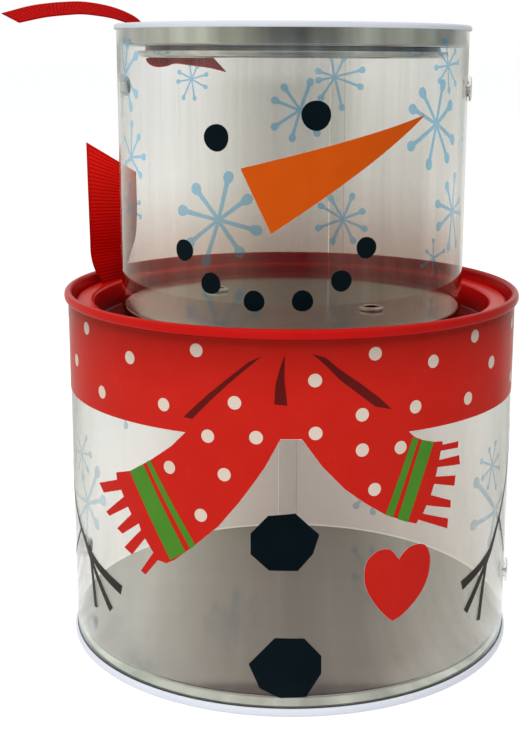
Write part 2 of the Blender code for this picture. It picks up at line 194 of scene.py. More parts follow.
class Nodes:
    """The node tree of a material or of the world, with short ways to add and join nodes."""

    def __init__(self, name, kind="materials"):
        self.owner = getattr(bpy.data, kind).new(name)
        self.owner.use_nodes = True
        self.tree = self.owner.node_tree
        self.output = next(node for node in self.tree.nodes if node.type.startswith("OUTPUT"))
        self.shader = next(node for node in self.tree.nodes if node != self.output)

    def feed(self, socket, value):
        """Gives a socket the output of another node, or a number, vector or colour."""
        if isinstance(value, bpy.types.NodeSocket):
            self.tree.links.new(value, socket)
        else:
            socket.default_value = (*value, 1.0) if socket.type == "RGBA" else value

    def add(self, kind, *inputs, **settings):
        """A new node with its settings, and what its inputs in use are fed, in order."""
        node = self.tree.nodes.new(f"ShaderNode{kind}")
        for key, value in settings.items():
            setattr(node, key, value)
        for socket, value in zip([socket for socket in node.inputs if socket.enabled], inputs):
            self.feed(socket, value)
        return node

    def make(self, kind, *inputs, **settings):
        """The first output in use of a new node."""
        outputs = self.add(kind, *inputs, **settings).outputs
        return next(socket for socket in outputs if socket.enabled)

    def set(self, **values):
        for key, value in values.items():
            self.feed(self.shader.inputs[key.replace("_", " ")], value)

    def surface(self, shader):
        """Shows this shader in place of the plain one. Gives back the material or world."""
        self.feed(self.output.inputs["Surface"], shader)
        if not self.shader.outputs[0].links:
            self.tree.nodes.remove(self.shader)
        return self.owner

    def place(self, scale=(1, 1, 1)):
        """Object coordinates stretched by scale."""
        mapping = self.add("Mapping", self.add("TexCoord").outputs["Object"])
        mapping.inputs["Scale"].default_value = scale
        return mapping.outputs[0]

    def axes(self):
        """Object coordinates, X, Y and Z apart."""
        return self.add("SeparateXYZ", self.add("TexCoord").outputs["Object"]).outputs

    def round_place(self, rise):
        """Coordinates that run round the piece's axis and, by this much, up it."""
        x, y, z = self.axes()
        around = self.make("VectorMath", self.make("CombineXYZ", x, y), operation="NORMALIZE")
        up = self.make("Math", z, rise, operation="MULTIPLY")
        return self.make("VectorMath", around, self.make("CombineXYZ", 0, 0, up), operation="ADD")

    def noise(self, scale, detail, roughness=0.5, at=None):
        return self.make("TexNoise", self.place() if at is None else at, scale, detail, roughness)

    def spread(self, value, low, high, start=0.3, end=0.7):
        """Maps a value's range from start to end to the range from low to high."""
        return self.make("MapRange", value, start, end, low, high)

    def share(self, value, start, end):
        """How far a value has come from start to end, from 0 to 1."""
        return self.spread(value, 0, 1, start, end)

    def blend(self, value, first, second):
        return self.make("Mix", value, first, second, data_type="RGBA")

    def times(self, first, second):
        return self.make("Mix", 1, first, second, data_type="RGBA", blend_type="MULTIPLY")

    def ramp(self, share, rows, start, end):
        """Colours by a share of the way from start to end: rows of a place and a colour or tone."""
        node = self.add("ValToRGB", share)
        points = node.color_ramp.elements
        while len(points) < len(rows):
            points.new(0.5)
        for point, (place, *colour) in zip(points, rows):
            point.position = (place - start) / (end - start)
            point.color = (*(colour * 3)[:3], 1.0)
        return node.outputs["Color"]

    def glazed(self, tone):
        """Finishes a clear surface: gloss over what is seen through it, and open to lamps.

        The gloss follows Schlick's rule, the same from both sides of the surface."""
        facing = self.add("LayerWeight", 0.5).outputs["Facing"]
        power = self.make("Math", facing, 5, operation="POWER")
        mix = self.make("MixShader", self.spread(power, FILM_MIRROR, 1, 0, 1),
                        self.make("BsdfTransparent", tone),
                        self.make("BsdfGlossy", FILM_GLOSS, FILM_ROUGHNESS))
        open_side = self.make("BsdfTransparent", (LAMP_TONE,) * 3)
        path = self.add("LightPath").outputs
        for ray in ("Is Shadow Ray", "Is Diffuse Ray"):
            mix = self.make("MixShader", path[ray], mix, open_side)
        return self.surface(mix)

    def bump(self, height, strength, distance):
        node = self.add("Bump", strength, distance)
        self.feed(node.inputs["Height"], height)
        self.set(Normal=node.outputs[0])

    def background_ray(self):
        """1 for what the camera sees straight, in a mirror or through something clear."""
        path = self.add("LightPath").outputs
        seen = path["Is Camera Ray"]
        for ray in ("Is Glossy Ray", "Is Transmission Ray"):
            seen = self.make("Math", seen, path[ray], operation="MAXIMUM")
        return seen


# Painted shade in the film's tint, darker in the middle than at the sides: how much light one face
# of the film lets through, by place across the tin, from -1 to 1, first in its upper part and then in
# its lower part
FILM_SHADE_TONES = {
    "upper": (((-0.92, 0.955, 0.955, 0.95), (-0.78, 0.96, 0.96, 0.955), (-0.64, 0.935, 0.935, 0.925),
               (-0.50, 0.93, 0.93, 0.92), (-0.36, 0.875, 0.872, 0.855), (-0.20, 0.825, 0.82, 0.80),
               (-0.05, 0.803, 0.80, 0.78), (0.24, 0.803, 0.80, 0.78), (0.34, 0.865, 0.863, 0.845),
               (0.45, 0.90, 0.90, 0.885), (0.82, 0.905, 0.905, 0.89), (0.97, 0.94, 0.94, 0.93)),
              ((-0.92, 0.955, 0.95, 0.94), (-0.78, 0.958, 0.952, 0.94), (-0.64, 0.93, 0.925, 0.91),
               (-0.50, 0.905, 0.90, 0.88), (-0.36, 0.865, 0.855, 0.83), (-0.20, 0.825, 0.815, 0.79),
               (-0.05, 0.803, 0.79, 0.77), (0.24, 0.803, 0.79, 0.77), (0.34, 0.83, 0.81, 0.79),
               (0.55, 0.825, 0.81, 0.79), (0.80, 0.85, 0.835, 0.815), (0.88, 0.96, 0.955, 0.945),
               (0.97, 0.985, 0.985, 0.98))),
    "lower": (((-0.99, 0.98, 0.975, 0.97), (-0.94, 0.955, 0.953, 0.948), (-0.88, 0.912, 0.912, 0.905),
               (-0.72, 0.905, 0.905, 0.895), (-0.55, 0.885, 0.88, 0.865),
               (-0.35, 0.84, 0.825, 0.805), (-0.15, 0.80, 0.77, 0.745), (0.02, 0.78, 0.748, 0.73),
               (0.30, 0.80, 0.77, 0.75), (0.50, 0.83, 0.81, 0.79), (0.75, 0.86, 0.85, 0.83),
               (0.86, 0.875, 0.87, 0.855), (0.92, 0.945, 0.94, 0.93), (0.955, 0.985, 0.98, 0.975),
               (1.0, 1.0, 1.0, 0.995)),
              ((-0.95, 0.96, 0.96, 0.95), (-0.72, 0.95, 0.945, 0.93), (-0.55, 0.905, 0.89, 0.87),
               (-0.35, 0.86, 0.835, 0.81), (-0.15, 0.825, 0.795, 0.77), (0.02, 0.805, 0.775, 0.755),
               (0.30, 0.81, 0.785, 0.765), (0.50, 0.835, 0.81, 0.785), (0.75, 0.87, 0.855, 0.835),
               (0.86, 0.91, 0.90, 0.885), (0.96, 0.95, 0.95, 0.94))),
}
# Between these shares of its height, the lower part's tones pass into the upper part's
FILM_TONE_HEIGHTS = (0.3125, 0.8125)
# Painted shade and painted red bounce light at the tins' foot, strongest on the head: tones, and the
# share of their height where they end
FOOT_SHADE_TONES = {"upper": (0.82, 0.73, 0.69), "lower": (0.96, 0.952, 0.94)}
FOOT_SHADE_SHARE = 0.45
FILM_STREAKS = {"upper": ((1.012, 1.012, 1.010), (0.983, 0.980, 0.975)),
                "lower": ((1.006, 1.006, 1.005), (0.991, 0.989, 0.987))}
# Painted reflection: a greenish tint of the film before the metal skirt, for the colour the skirt
# reflects, and how much it counts there
SKIRT_REFLECTION_TINT, SKIRT_REFLECTION_SHARE = (0.955, 0.985, 0.945), 0.6
# The film's gloss: colour, roughness and the share of light mirrored square on
FILM_GLOSS, FILM_ROUGHNESS, FILM_MIRROR = (0.96, 0.97, 0.97), 0.03, 0.035
# How much of the lamps' light passes one face of the film
LAMP_TONE = 0.975


def clear_film(tin):
    """Clear rolled film: see-through and glossy, and streaked. Its smoky tint is painted shade,
    darker across the middle and toward the foot, with a painted greenish reflection before the metal
    skirt.
    """
    nodes = Nodes(f"clear_film_{tin.name}")
    x, y, z = nodes.axes()
    across = nodes.share(x, -tin.radius, tin.radius)
    upper, lower = (nodes.ramp(across, level, -1, 1) for level in FILM_SHADE_TONES[tin.name])
    height = tin.top - tin.foot
    change = (tin.foot + share * height for share in FILM_TONE_HEIGHTS)
    tone = nodes.blend(nodes.share(z, *change), lower, upper)
    skirt = tin.foot + FLOOR_RISE
    at_skirt = nodes.spread(z, SKIRT_REFLECTION_SHARE, 0, skirt, skirt + SHEET)
    tone = nodes.blend(at_skirt, tone, SKIRT_REFLECTION_TINT)
    streaks = nodes.noise(9, 4, 0.62, nodes.round_place(1.2))
    fine = nodes.noise(52, 2, at=nodes.round_place(0.5))
    both = nodes.make("Math", fine, 0.5, streaks, operation="MULTIPLY_ADD")
    streak = nodes.blend(nodes.share(both, 0.55, 0.95), *FILM_STREAKS[tin.name])
    # Painted shade and red bounce light, fading up from the foot
    reach = tin.foot + FOOT_SHADE_SHARE * height
    low = nodes.blend(nodes.share(z, tin.foot, reach), FOOT_SHADE_TONES[tin.name], (1, 1, 1))
    return nodes.glazed(nodes.times(nodes.times(tone, streak), low))


def film_part(name, scale, detail, dull, bright):
    """A small part of the film, with little but its gloss to show it."""
    nodes = Nodes(name)
    cloud = nodes.noise(scale, detail, at=nodes.round_place(1))
    return nodes.glazed(nodes.blend(cloud, dull, bright))


def tinplate(name, dull, bright):
    """Bright rolled tinplate, with a grain along its rolling and faint handling marks."""
    nodes = Nodes(name)
    grain = nodes.noise(14, 3, at=nodes.place((1, 9, 9)))
    nodes.set(Base_Color=nodes.blend(grain, dull, bright),
              Roughness=nodes.spread(nodes.noise(18, 2), 0.10, 0.15), Metallic=1)
    return nodes.owner


def clouded(name, dull, bright, scale, rough, **values):
    """A finish whose colour and gloss vary together."""
    nodes = Nodes(name)
    cloud = nodes.noise(scale, 3)
    nodes.set(Base_Color=nodes.blend(cloud, dull, bright),
              Roughness=nodes.spread(cloud, *rough), **values)
    return nodes.owner


def pale_curl(name, dull, bright):
    """Pale non-metal finish on the curled edges of the tinplate, outside the film: a painted bright
    reflection in place of the metal's own.
    """
    return clouded(name, dull, bright, 60, (0.28, 0.38), Specular_IOR_Level=0.4)


def eyelet_metal(name, dull, bright, metallic):
    """Polished nickel, finely scuffed."""
    return clouded(name, dull, bright, 700, (0.06, 0.14), Metallic=metallic)


# Painted shade on the bead: where its enamel is painted darker, to the right of the axis, and how
# dark
BEAD_RIGHT_SHADE, BEAD_RIGHT_SHADE_TONE = (10 * MM, 58 * MM), (0.76, 0.72, 0.68)
# Heights above the flange between which the bead's enamel begins
BEAD_START = (0.1 * MM, 0.5 * MM)
# Painted shade and light: tones of the enamel at the well's floor, darker down in the well, and at
# the flange, brighter
WELL_SHADE_TONE, FLANGE_LIGHT_TONE = (0.33, 0.18, 0.18), (1.22, 1, 1)


def red_enamel():
    """Glossy red enamel over tinplate, with a trace of orange peel.

    Painted shade makes it darker down in the well and on the right of the ring's bead, and painted
    light makes the flange brighter.
    """
    nodes = Nodes("red_enamel_gloss")
    cloud = nodes.noise(30, 3)
    colour = nodes.blend(cloud, (0.47, 0.003, 0.002), (0.53, 0.007, 0.005))
    x, y, z = nodes.axes()
    flange = LOWER.top - FLANGE_DROP
    shade = nodes.blend(nodes.share(z, LOWER.well_floor, flange - MM), WELL_SHADE_TONE, FLANGE_LIGHT_TONE)
    right_shade = nodes.blend(nodes.share(x, *BEAD_RIGHT_SHADE), (1, 1, 1), BEAD_RIGHT_SHADE_TONE)
    at_bead = nodes.share(z, *(flange + rise for rise in BEAD_START))
    nodes.set(Base_Color=nodes.times(colour, nodes.blend(at_bead, shade, right_shade)),
              Roughness=nodes.spread(cloud, 0.20, 0.30), Specular_IOR_Level=0.09)
    nodes.bump(nodes.noise(420, 2), 0.06, 0.03 * MM)
    return nodes.owner


# Painted light on a ribbon: colour multipliers, in shares of red, green and blue, at two heights
CLOTH_LIGHT_HEIGHTS = (0.114, 0.141)
LOWER_CLOTH_LIGHT = ((1, 1, 1), (1.8, 7, 6))
FOLD_CLOTH_LIGHT = ((2.1, 14, 16), (2.1, 14, 16))
# Share of a ribbon's light that comes through it
CLOTH_GLOW = 0.3


def ribbon_cloth(name, light=()):
    """Grosgrain: the ribs are in the mesh, and fine warp threads run across them."""
    nodes = Nodes(name)
    rib, warp = (nodes.add("Attribute", attribute_name=layer).outputs["Fac"]
                 for layer in ("rib", "warp"))
    # Painted shade in the ribs' grooves: the colour runs from dark in each groove to bright on each
    # crest, here and in the light that comes through
    colour = nodes.blend(rib, (0.22, 0.0005, 0.0005), (0.55, 0.003, 0.002))
    if light:
        rise = nodes.share(nodes.axes()["Z"], *CLOTH_LIGHT_HEIGHTS)
        colour = nodes.times(colour, nodes.blend(rise, *light))
    nodes.set(Base_Color=colour, Roughness=0.75, Specular_IOR_Level=0.02)
    nodes.bump(nodes.make("Math", warp, 0.5, operation="PINGPONG"), 0.5, 0.06 * MM)
    glow = nodes.make("BsdfTranslucent",
                      nodes.blend(rib, (0.60, 0.002, 0.002), (0.95, 0.008, 0.006)))
    return nodes.surface(nodes.make("MixShader", CLOTH_GLOW, nodes.shader.outputs[0], glow))


# Share of a thin ink's face that is seen through
SEE_SHARE = 0.9
# Shade on these inks under the body's bead: millimetres below the tin's top, and tone
SHADED_INKS = ("red", "dark_red", "cream")
BEAD_SHADE = ((18, 1), (12, 0.89), (8, 0.78), (6, 0.69), (4.9, 0.6), (4.1, 0.48), (3.6, 0.44),
    (3, 0.6))


def ink(name, thin, full, gloss=0.06, roughness=0.2, through=()):
    """Screen ink with a slightly uneven film. A thin ink also shows what is behind it, tinted."""
    nodes = Nodes(f"ink_{name}")
    film = nodes.noise(160, 4)
    colour = nodes.blend(film, thin, full)
    if name in SHADED_INKS:
        far, near = BEAD_SHADE[0][0], BEAD_SHADE[-1][0]
        rise = nodes.share(nodes.axes()["Z"], LOWER.top - far * MM, LOWER.top - near * MM)
        colour = nodes.times(colour, nodes.ramp(rise, BEAD_SHADE, far, near))
    nodes.set(Base_Color=colour, Roughness=nodes.spread(film, roughness, roughness + 0.08),
              Specular_IOR_Level=gloss)
    if not through:
        return nodes.owner
    see = nodes.make("BsdfTransparent", through)
    return nodes.surface(nodes.make("MixShader", SEE_SHARE, nodes.shader.outputs[0], see))


FINISH = {
    "lower_film": clear_film(LOWER),
    "upper_film": clear_film(UPPER),
    "film_lap": film_part("clear_film_lap", 40, 2, (0.985, 0.985, 0.98), (1, 1, 1)),
    "film_edge": film_part("clear_film_edge", 60, 3, (0.88, 0.86, 0.83), (0.94, 0.93, 0.90)),
    "tinplate": tinplate("tinplate_satin", (0.70, 0.725, 0.75), (0.79, 0.815, 0.84)),
    "floor_tinplate": tinplate("tinplate_floor", (0.74, 0.84, 0.88), (0.82, 0.92, 0.96)),
    # Painted red reflection and shade for the head's foot, which sits in the lower lid's well
    "well_tinplate": tinplate("tinplate_well", (0.42, 0.20, 0.19), (0.50, 0.26, 0.25)),
    # Painted shade: dark tinplate for the ring's recess under the shelf
    "recess_tinplate": tinplate("tinplate_recess", (0.08, 0.095, 0.11), (0.11, 0.125, 0.14)),
    "foot_curl": pale_curl("foot_curl_pale_reflection", (0.72, 0.745, 0.81), (0.80, 0.825, 0.89)),
    "ring_curl": pale_curl("ring_lacquer", (0.58, 0.60, 0.655), (0.645, 0.665, 0.72)),
    "red_enamel": red_enamel(),
    "lower_cloth": ribbon_cloth("grosgrain_low", LOWER_CLOTH_LIGHT),
    "upper_cloth": ribbon_cloth("grosgrain_up"),
    "fold_cloth": ribbon_cloth("grosgrain_fold", FOLD_CLOTH_LIGHT),
    "eyelet_metal": eyelet_metal("eyelet_nickel", (0.84, 0.84, 0.79), (0.95, 0.95, 0.90), 0.7),
    # Painted shade: a dark copy of the eyelet metal for the bores
    "eyelet_bore": eyelet_metal("eyelet_bore", (0.06, 0.055, 0.05), (0.09, 0.085, 0.08), 1),
}
FINISH |= {name: ink(name, *values) for name, *values in (
    ("white", (0.76, 0.70, 0.62), (0.82, 0.77, 0.70)),
    ("red", (0.50, 0.012, 0.006), (0.555, 0.016, 0.009)),
    ("dark_red", (0.095, 0.006, 0.005), (0.125, 0.010, 0.008)),
    ("cream", (0.63, 0.52, 0.42), (0.70, 0.59, 0.485)),
    ("green", (0.055, 0.20, 0.016), (0.075, 0.25, 0.024)),
    ("orange", (0.50, 0.066, 0.001), (0.57, 0.082, 0.003)),
    ("coal", (0.0005, 0.004, 0.006), (0.002, 0.007, 0.010), 0.05, 0.3),
    ("twig", (0.020, 0.016, 0.013), (0.034, 0.028, 0.023), 0.05),
    ("ice", (0.42, 0.76, 0.96), (0.48, 0.82, 1), 0.1, 0.3, (0.667, 0.875, 1)),
    ("pale_ice", (0.62, 0.78, 0.88), (0.70, 0.86, 0.96), 0.1, 0.3, (0.80, 0.875, 0.93)))}


# Making pieces


def new_object(name, data, matrix=Matrix()):
    piece = bpy.data.objects.new(name, data)
    bpy.context.scene.collection.objects.link(piece)
    piece.matrix_world = matrix
    return piece


def add_piece(name, mesh, finishes, body, replaces=(), crease=35):
    """A piece on the tins' axis. Its finishes are names, in the order of the mesh's materials."""
    piece = new_object(name, mesh, Matrix.Translation(AXIS))
    indices = [face.material_index for face in mesh.polygons]
    mesh.materials.clear()
    for finish in finishes.split():
        mesh.materials.append(FINISH[finish])
    mesh.polygons.foreach_set("material_index", indices)
    piece.data.shade_smooth()
    piece.data.set_sharp_from_angle(angle=math.radians(crease))
    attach(piece, body)
    if replaces:
        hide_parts(*replaces)
    return piece


def mesh_from(body, name):
    bmesh.ops.recalc_face_normals(body, faces=body.faces)
    mesh = bpy.data.meshes.new(name)
    body.to_mesh(mesh)
    body.free()
    return mesh


def round_point(radius, turn, height):
    """A place at a turn round the axis, from the front to the right."""
    return Vector((radius * math.sin(turn), -radius * math.cos(turn), height))


def join_rows(body, low, high, closed=True):
    """Faces between two rows of vertices. A row of one is a pole that all its faces share."""
    count = max(len(low), len(high))
    faces = []
    for step in range(count if closed else count - 1):
        after = (step + 1) % count
        corners = list(dict.fromkeys([low[step % len(low)], low[after % len(low)],
                                      high[after % len(high)], high[step % len(high)]]))
        if len(corners) > 2:
            faces.append(body.faces.new(corners))
    return faces


def arc(centre, radius, start, end, steps=ARC_STEPS):
    """Points of a bend in the (radius, height) plane, between two angles in degrees."""
    angles = [math.radians(start + (end - start) * step / steps) for step in range(steps + 1)]
    return [(centre[0] + radius * math.cos(angle), centre[1] + radius * math.sin(angle))
            for angle in angles]


def sheet_outline(path):
    """Closed outline of a sheet of metal whose middle follows the path."""
    left, right = [], []
    path = [here for here, before in zip(path, [None] + path)
            if not before or math.dist(here, before) > TINY]
    for index, point in enumerate(path):
        here = Vector(point)
        before = here - Vector(path[index - 1]) if index else Vector(path[1]) - here
        after = Vector(path[index + 1]) - here if index + 1 < len(path) else before
        across = (before.normalized() + after.normalized()).orthogonal().normalized()
        left.append(tuple(here + across * SHEET / 2))
        right.append(tuple(here - across * SHEET / 2))
    return left + right[::-1]


def turned(name, outline, steps=TURN_STEPS):
    """Mesh of revolution about Z of a closed outline in the (radius, height) plane."""
    body = bmesh.new()
    rings = []
    for radius, height in outline:
        count = 1 if abs(radius) < TINY else steps
        rings.append([body.verts.new(round_point(radius, math.tau * step / steps, height))
                      for step in range(count)])
    for low, high in zip(rings, rings[1:] + rings[:1]):
        join_rows(body, low, high)
    return mesh_from(body, name)


def cut_mesh(mesh, cutter_mesh, matrix):
    """The mesh with the cutter taken out of it."""
    piece, cutter = new_object("whole", mesh), new_object("cutter", cutter_mesh, matrix)
    boolean = piece.modifiers.new("cut", "BOOLEAN")
    boolean.operation = "DIFFERENCE"
    boolean.solver = "EXACT"
    boolean.object = cutter
    bpy.context.view_layer.update()
    graph = bpy.context.evaluated_depsgraph_get()
    result = bpy.data.meshes.new_from_object(piece.evaluated_get(graph))
    for scratch in (piece, cutter):
        bpy.data.objects.remove(scratch)
    return result


def rod(sheet):
    """Cylinder about Z that cuts an eyelet's hole in a sheet of this thickness."""
    half = CUT_DEPTH * sheet / 2
    outline = [(0, -half), (HOLE_RADIUS, -half), (HOLE_RADIUS, half), (0, half)]
    return turned("rod", outline, EYELET_STEPS)


def block(size):
    body = bmesh.new()
    bmesh.ops.create_cube(body, size=1.0, matrix=Matrix.Diagonal((*size, 1.0)))
    return mesh_from(body, "block")


def side_matrix(turn, radius, height):
    """Points +Z outward, square to the tube, at a turn from the right toward the back."""
    spot = Vector((radius * math.cos(turn), radius * math.sin(turn), height))
    outward = Matrix.Rotation(turn, 4, "Z") @ Matrix.Rotation(math.pi / 2, 4, "Y")
    return Matrix.Translation(spot) @ outward


# Tin ends, rings and lids


def skirt_radius(tin):
    return tin.radius - TUBE_WALL - SKIRT_FIT - SHEET / 2


def curl_turn(tin, centre, radius, gap):
    """How far a curl runs on before its inner face is a gap from the film, in degrees."""
    share = (tin.radius + gap - centre) / (radius - SHEET / 2)
    return math.degrees(math.acos(min(max(share, 0.0), 1.0)))


def base_mesh(tin):
    skirt = skirt_radius(tin)
    lip = tin.radius + tin.foot_standoff + SHEET / 2
    floor = tin.foot + FLOOR_RISE - SHEET / 2
    seat = tin.foot + SHEET / 2 + FOOT_BEND
    path = [(skirt * share, floor) for share in FLOOR_RINGS]
    path += arc((skirt - FLOOR_BEND, floor - FLOOR_BEND), FLOOR_BEND, 90, 0)
    path += arc((skirt + FOOT_BEND, seat), FOOT_BEND, 180, 270)
    path += arc((lip - FOOT_BEND, seat), FOOT_BEND, 270, 360)
    crown = (lip - FOOT_CROWN_BEND, tin.foot + FOOT_BEAD_HEIGHT - SHEET / 2 - FOOT_CROWN_BEND)
    path += arc(crown, FOOT_CROWN_BEND, 0, curl_turn(tin, crown[0], FOOT_CROWN_BEND, CURL_GAP))
    return turned(f"{tin.name}_base", sheet_outline(path))


def rim_mesh(tin):
    skirt = skirt_radius(tin)
    lip = tin.radius + tin.bead_standoff + SHEET / 2
    bead = (lip - skirt) / 2
    shelf = tin.top - SHELF_DROP + SHEET / 2
    opening = tin.well_radius + SHEET + FIT + SHEET / 2
    curl_height = shelf - OPENING_DEPTH + OPENING_CURL
    under = tin.top - tin.bead_height + SHEET / 2 + bead
    path = arc((skirt + bead, under), bead, -curl_turn(tin, skirt + bead, bead, 4 * CURL_GAP), 0)
    path += arc((skirt + bead, tin.top - SHEET / 2 - bead), bead, 0, 180, 2 * ARC_STEPS)
    path += arc((skirt - SHELF_BEND, shelf + SHELF_BEND), SHELF_BEND, 0, -90)
    path += arc((opening + OPENING_BEND, shelf - OPENING_BEND), OPENING_BEND, 90, 180)
    path += arc((opening + OPENING_CURL, curl_height), OPENING_CURL, 180, 360, 2 * ARC_STEPS)
    path += [(opening + 2 * OPENING_CURL, curl_height + CURL_RETURN)]
    return turned(f"{tin.name}_rim", sheet_outline(path))


def lid_mesh(tin):
    edge = tin.radius - LID_EDGE_INSET - SHEET / 2
    flange = tin.top - FLANGE_DROP - SHEET / 2
    wall = tin.well_radius + SHEET / 2
    floor = tin.well_floor - SHEET / 2
    path = [(edge, tin.top + SHEET + FIT - SHELF_DROP)]
    path += arc((edge - LID_BEND, flange - LID_BEND), LID_BEND, 0, 90)
    path += arc((wall + WELL_BEND, flange - WELL_BEND), WELL_BEND, 90, 180)
    path += arc((wall - WELL_BEND, floor + WELL_BEND), WELL_BEND, 0, -90)
    path += [(wall * share, floor) for share in FLOOR_RINGS[::-1]]
    return turned(f"{tin.name}_lid", sheet_outline(path))


def film_mesh(tin):
    """A sheet of film rolled into a tube, its ends lapped at the seam.

    The lap has the second material, and the film's cut ends the third."""
    step = math.tau / TURN_STEPS
    low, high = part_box(f"{tin.name}_tube")
    start = round((SEAM_TURN[tin.name] - FILM_LAP / 2) / step) * step
    count = TURN_STEPS + round(FILM_LAP / step)
    edge = SEAM_EDGE / tin.radius
    places = [0.0, edge] + [index * step for index in range(1, count)]
    places += [count * step - edge, count * step]
    body = bmesh.new()
    rows = []
    for along in places:
        tuck = min(max((along - FILM_LAP) / FILM_EASE, 0.0), 1.0)
        tuck = 1.0 - tuck * tuck * (3 - 2 * tuck)
        outer = tin.radius - tuck * (FILM + FILM_GAP)
        rows.append([body.verts.new(round_point(radius, start + along, height))
                     for radius, height in ((outer, low.z), (outer, high.z),
                                            (outer - FILM, high.z), (outer - FILM, low.z))])
    for along, before, after in zip(places, rows, rows[1:]):
        kind = 2 if along in (places[0], places[-2]) else int(along < FILM_LAP - step / 2)
        for face in join_rows(body, before, after):
            face.material_index = kind
    body.faces.new(rows[0])
    body.faces.new(rows[-1][::-1])
    return mesh_from(body, f"{tin.name}_tube")


def eyelet_mesh(name, grip):
    """Eyelet about +Z: rolled flange above z = 0 and a rolled set end a grip below it.

    Its bore has the second material, a dark metal that paints shade into it."""
    def roll(outer, height, rise):
        centre, half = (BORE_RADIUS + outer) / 2, (outer - BORE_RADIUS) / 2
        angles = [math.pi * step / (2 * ARC_STEPS) for step in range(2 * ARC_STEPS + 1)]
        return [(centre - half * math.cos(a), height + rise * math.sin(a)) for a in angles]

    crown = roll(EYELET_RADIUS, FIT + EYELET_EDGE, EYELET_CROWN)
    set_end = roll(SET_RADIUS, -grip - EYELET_EDGE, -EYELET_CROWN)
    shank = [(EYELET_RADIUS, FIT), (BARREL_RADIUS, FIT), (BARREL_RADIUS, -grip), (SET_RADIUS, -grip)]
    mesh = turned(name, crown + shank + set_end[::-1], EYELET_STEPS)
    for face in mesh.polygons:
        face.material_index = int(face.center.xy.length < BORE_RADIUS + EYELET_EDGE)
    return mesh


def add_eyelet(name, matrix, grip, body):
    mesh = eyelet_mesh(name, grip)
    mesh.transform(matrix)
    add_piece(f"{name}_fitting", mesh, "eyelet_metal eyelet_bore", body, (name,))


def outside(mesh, tin):
    """Gives the second material to what stands out beyond the film."""
    for face in mesh.polygons:
        face.material_index = int(face.center.xy.length > tin.radius)


def recess(mesh, tin):
    """Gives the third material, a dark tinplate that paints shade, to the ring's recess, under the
    shelf and behind the curl.
    """
    shelf = tin.top - SHELF_DROP + SHEET / 2
    low = shelf - OPENING_DEPTH + OPENING_CURL + CURL_RETURN
    reach = skirt_radius(tin) - SHELF_BEND
    for face in mesh.polygons:
        if low < face.center.z < shelf and face.center.xy.length < reach:
            face.material_index = 2


def build_tin(tin, holes=()):
    height = middle_of(f"{tin.name}_eyelet_right").z
    film = film_mesh(tin)
    for side, turn in SIDES:
        matrix = side_matrix(EYELET_TURN + turn, tin.radius, height)
        film = cut_mesh(film, rod(TUBE_WALL), matrix)
        add_eyelet(f"{tin.name}_eyelet_{side}", matrix, TUBE_WALL + FIT, tin.body)
    add_piece(f"{tin.name}_film", film, f"{tin.name}_film film_lap film_edge",
              tin.body, (f"{tin.name}_tube",))
    base, ring = base_mesh(tin), rim_mesh(tin)
    for matrix in holes:
        base = cut_mesh(base, rod(SHEET), matrix)
    outside(base, tin)
    # On the head's end, the foot beyond the film gets the painted red reflection and shade of the
    # well
    finishes = "floor_tinplate well_tinplate" if holes else "tinplate foot_curl"
    add_piece(f"{tin.name}_end", base, finishes, tin.body, (f"{tin.name}_base",))
    finishes = tin.finish
    if tin.finish == "tinplate":
        outside(ring, tin)
        recess(ring, tin)
        finishes += " ring_curl recess_tinplate"
    add_piece(f"{tin.name}_ring", ring, finishes, tin.body, (f"{tin.name}_rim",))


def build_tins():
    build_tin(LOWER)
    holes = []
    for side, turn in SIDES:
        spot = Matrix.Rotation(FLOOR_EYELET_TURN + turn, 4, "Z") @ Vector((FLOOR_EYELET_REACH, 0, 0))
        spot.z = UPPER.foot + FLOOR_RISE
        holes.append(Matrix.Translation(spot))
        add_eyelet(f"floor_eyelet_{side}", holes[-1], SHEET + FIT, UPPER.body)
    build_tin(UPPER, holes)


def build_lid(tin, slot, width):
    """A lid with a slot for its ribbon."""
    size = (RIBBON_THICKNESS + 2 * FIT, width + 2 * FIT, CUT_DEPTH * SHEET)
    mesh = cut_mesh(lid_mesh(tin), block(size), slot)
    add_piece(f"{tin.name}_lid_plate", mesh, tin.finish, tin.lid_body,
              (f"{tin.name}_lid",))


def build_lids():
    slot = LOWER_SLOT_TURN @ Matrix.Translation((LOWER_SLOT_REACH, 0, 0))
    slot.translation.z = LOWER.top - FLANGE_DROP
    build_lid(LOWER, slot, 2 * LOWER_SLOT_HALF)
    slot = Matrix.Translation((-UPPER_SLOT_REACH, 0, UPPER.well_floor))
    build_lid(UPPER, slot, RIBBON_WIDTH)


# Ribbons

# Edges from the axis, in millimetres, after the slot
LOWER_RIBBON_LEFT = ((-61, 18, 105.9), (-62.5, 20.5, 110), (-62.8, 21.4, 115), (-63, 22, 122),
    (-63.3, 23, 132), (-63.5, 23.4, 144.7))
LOWER_RIBBON_RIGHT = ((-52.6, 30, 105.9), (-51.3, 31, 110), (-49.8, 31, 115), (-49.2, 30.5, 122),
    (-49.1, 29.9, 129), (-49.1, 29.5, 135.1))
UPPER_RIBBON_FAR = ((-34.1, 173.7), (-38.5, 177.2), (-43, 179.3), (-46.1, 181.9), (-51.1, 184.1),
    (-57, 185.5), (-63.7, 186), (-74.8, 185), (-84.6, 182.6))
UPPER_RIBBON_NEAR = ((-34.1, 173.9), (-38.9, 177.7), (-45.9, 179.7), (-50.3, 181), (-54.4, 181.7),
    (-58.7, 182.1), (-62.7, 181.9), (-69.2, 181.2), (-76.4, 179.7))

